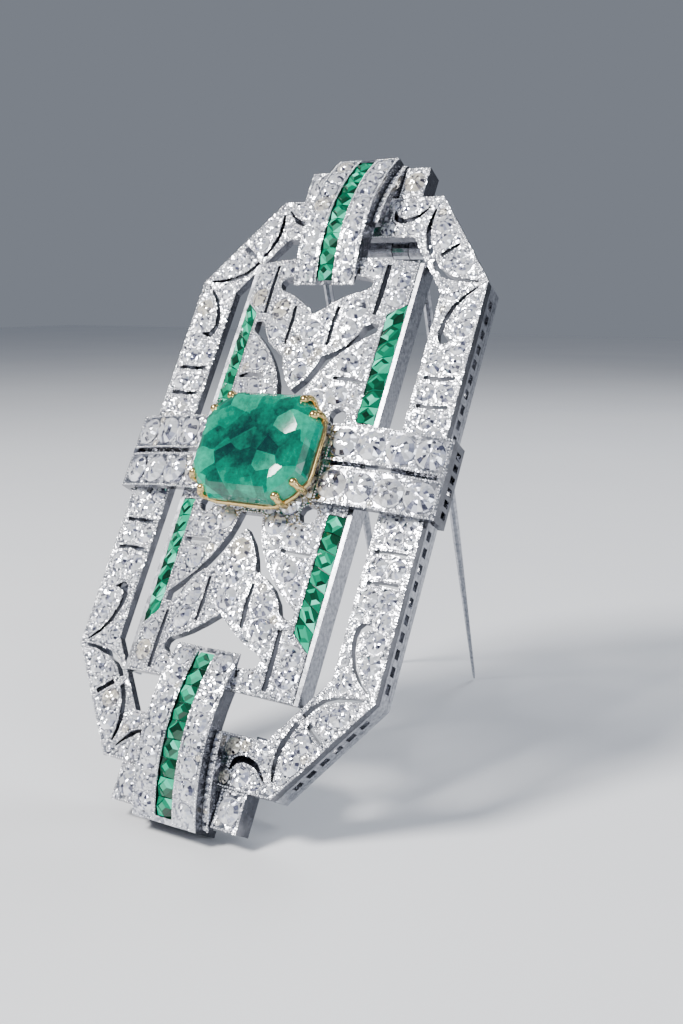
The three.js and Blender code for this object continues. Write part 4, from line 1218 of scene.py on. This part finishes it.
wireLook = {
    "sides": 10,
    "ring": 0.3,
    "rings": ((0.8, 2.55), (1.0, 3.95)),    # share of the emerald's outline, height
    "ringCorner": 0.12,
    "claw": 0.33,
    "clawTip": 0.46,
    "clawStand": 0.12,
    # a claw's path: height from the girdle, how far it leans in
    "clawPath": ((-1.1, 0.25), (-0.1, 0.0), (0.5, 0.1), (0.82, 0.5)),
    "leg": 0.85,
    "legFoot": 0.95,
    "legHead": 0.97,
    "legDrop": 0.25,
}


def smoothPath(points, steps):
    line = []
    last = len(points) - 1
    for i in range(last):
        p0, p1, p2, p3 = (Vector(points[max(i - 1, 0)]), Vector(points[i]),
                          Vector(points[i + 1]), Vector(points[min(i + 2, last)]))
        for k in range(steps):
            t = k / steps
            line.append(0.5 * ((2 * p1) + (p2 - p0) * t + (2 * p0 - 5 * p1 + 4 * p2 - p3) * t * t
                               + (3 * p1 - p0 - 3 * p2 + p3) * t ** 3))
    return line + [Vector(points[-1])]


def wire(vertices, faces, line, radii, closed=False):
    sides = wireLook["sides"]
    first = len(vertices)
    count = len(line)
    side = Vector((0, 0, 1)) if abs((line[1] - line[0]).normalized().z) < 0.9 else Vector((1, 0, 0))
    for i in range(count):
        if closed:
            along = line[(i + 1) % count] - line[i - 1]
        else:
            along = line[min(i + 1, count - 1)] - line[max(i - 1, 0)]
        along.normalize()
        side = (side - along * side.dot(along)).normalized()
        up = along.cross(side)
        for k in range(sides):
            turn = 2 * math.pi * k / sides
            vertices.append(line[i] + (side * math.cos(turn) + up * math.sin(turn)) * radii[i])
    for i in range(count if closed else count - 1):
        for k in range(sides):
            a, b = first + i * sides + k, first + i * sides + (k + 1) % sides
            c = first + ((i + 1) % count) * sides
            faces.append((a, b, c + (k + 1) % sides, c + k))
    if not closed:
        faces.append(tuple(first + k for k in range(sides))[::-1])
        faces.append(tuple(first + (count - 1) * sides + k for k in range(sides)))


def goldClaws():
    vertices, faces = [], []
    clawNames = [f"claw_{i}" for i in range(1, 9)]
    for name in clawNames:
        middle = broochCentre(name)
        out = Vector((middle.x / emeraldLook["halfX"], middle.y / emeraldLook["halfY"], 0)).normalized()
        post = Vector((middle.x, middle.y, emeraldLook["girdleZ"])) + out * wireLook["clawStand"]
        bends = [post + Vector((0, 0, rise)) - out * lean for rise, lean in wireLook["clawPath"]]
        path = smoothPath(bends, 6)
        wire(vertices, faces, path, [wireLook["claw"]] * len(path))
        turns = [k * math.pi / 8 for k in range(1, 8)]
        ball = [path[-1] + Vector((0, 0, -wireLook["clawTip"] * math.cos(turn))) for turn in turns]
        wire(vertices, faces, ball, [wireLook["clawTip"] * math.sin(turn) for turn in turns])
    piece = meshPiece("goldClaws", vertices, faces, basketGold)
    piece.data.shade_smooth()
    finishPiece(piece, "brooch", "gold", *clawNames)


def basketWires():
    vertices, faces = [], []
    for share, height in wireLook["rings"]:
        outline = [Vector((x, y, height)) for x, y in cutOutline(share)]
        near, far = wireLook["ringCorner"], 1 - wireLook["ringCorner"]
        rounded = [start.lerp(end, t) for start, end in zip(outline, outline[1:] + outline[:1])
                   for t in (near, far)]
        wire(vertices, faces, rounded, [wireLook["ring"]] * len(rounded), closed=True)
    (lowShare, lowZ), (_, highZ) = wireLook["rings"]
    legFoot, legHead = lowShare * wireLook["legFoot"], wireLook["legHead"]
    for i in range(1, 9):
        middle = broochCentre(f"claw_{i}")
        foot = Vector((middle.x * legFoot, middle.y * legFoot, lowZ - wireLook["legDrop"]))
        head = Vector((middle.x * legHead, middle.y * legHead, highZ))
        path = smoothPath([foot, foot.lerp(head, 0.5), head], 3)
        wire(vertices, faces, path, [wireLook["claw"] * wireLook["leg"]] * len(path))
    piece = meshPiece("goldBasketWires", vertices, faces, basketGold)
    piece.data.shade_smooth()
    finishPiece(piece, "brooch", "gold", "emerald_basket")


goldClaws()
basketWires()
print("emerald, claws and basket made")

for helper in (oldCutStone, smallCutStone, metalGrain, openSeat):
    bpy.data.objects.remove(helper)

# camera, floor and light

cameraLook = {
    "from": (0.0622, -0.0921, 0.01736),
    "toward": (-0.5035, 0.842, -0.194),
    "lens": 40.13,
    "sensor": 36,
    "nearest": 0.005,
}
lens = bpy.data.cameras.new("camera")
lens.lens = cameraLook["lens"]
lens.sensor_width = cameraLook["sensor"]
lens.clip_start = cameraLook["nearest"]
camera = bpy.data.objects.new("camera", lens)
bpy.context.scene.collection.objects.link(camera)
camera.location = heart + Vector(cameraLook["from"])
camera.rotation_euler = Vector(cameraLook["toward"]).to_track_quat("-Z", "Y").to_euler()
bpy.context.scene.camera = camera

floorLook = {
    "size": 2.0,
    "rough": 0.55,
    "cloudScale": 12,
    "tones": ((0.3, (0.78, 0.79, 0.82)), (0.7, (0.82, 0.83, 0.85))),
}
floorMaterial, floorTree, floorShader = newMaterial("paleFloor", Roughness=floorLook["rough"])
floorTone = rampOf(floorTree, noiseOf(floorTree, floorLook["cloudScale"]), floorLook["tones"])
floorTree.links.new(floorTone, floorShader.inputs["Base Color"])
half = floorLook["size"] / 2
floorCorners = [(-half, -half, 0), (half, -half, 0), (half, half, 0), (-half, half, 0)]
floor = meshPiece("floor", floorCorners, [(0, 1, 2, 3)], floorMaterial, toWorld=False)

worldLook = {"Color": (0.62, 0.68, 0.8, 1), "Strength": 0.32}
world = bpy.data.worlds.new("world")
bpy.context.scene.world = world
world.use_nodes = True
for socketName, value in worldLook.items():
    world.node_tree.nodes["Background"].inputs[socketName].default_value = value

lightLook = (    # name, place from the brooch's middle, size, power, colour
    ("keyLight", (-0.16, -0.26, 0.32), 0.12, 4.0, (1.0, 0.98, 0.95)),
    ("fillLight", (0.34, -0.16, 0.16), 0.2, 0.6, (0.86, 0.92, 1.0)),
    ("backLight", (0.05, 0.3, 0.3), 0.18, 0.9, (0.92, 0.95, 1.0)),
)
for name, place, size, power, tone in lightLook:
    lamp = bpy.data.lights.new(name, "AREA")
    lamp.shape = "DISK"
    lamp.size = size
    lamp.energy = power
    lamp.color = tone
    light = bpy.data.objects.new(name, lamp)
    bpy.context.scene.collection.objects.link(light)
    light.location = heart + Vector(place)
    light.rotation_euler = (-Vector(place)).to_track_quat("-Z", "Y").to_euler()
print("camera and lights placed")
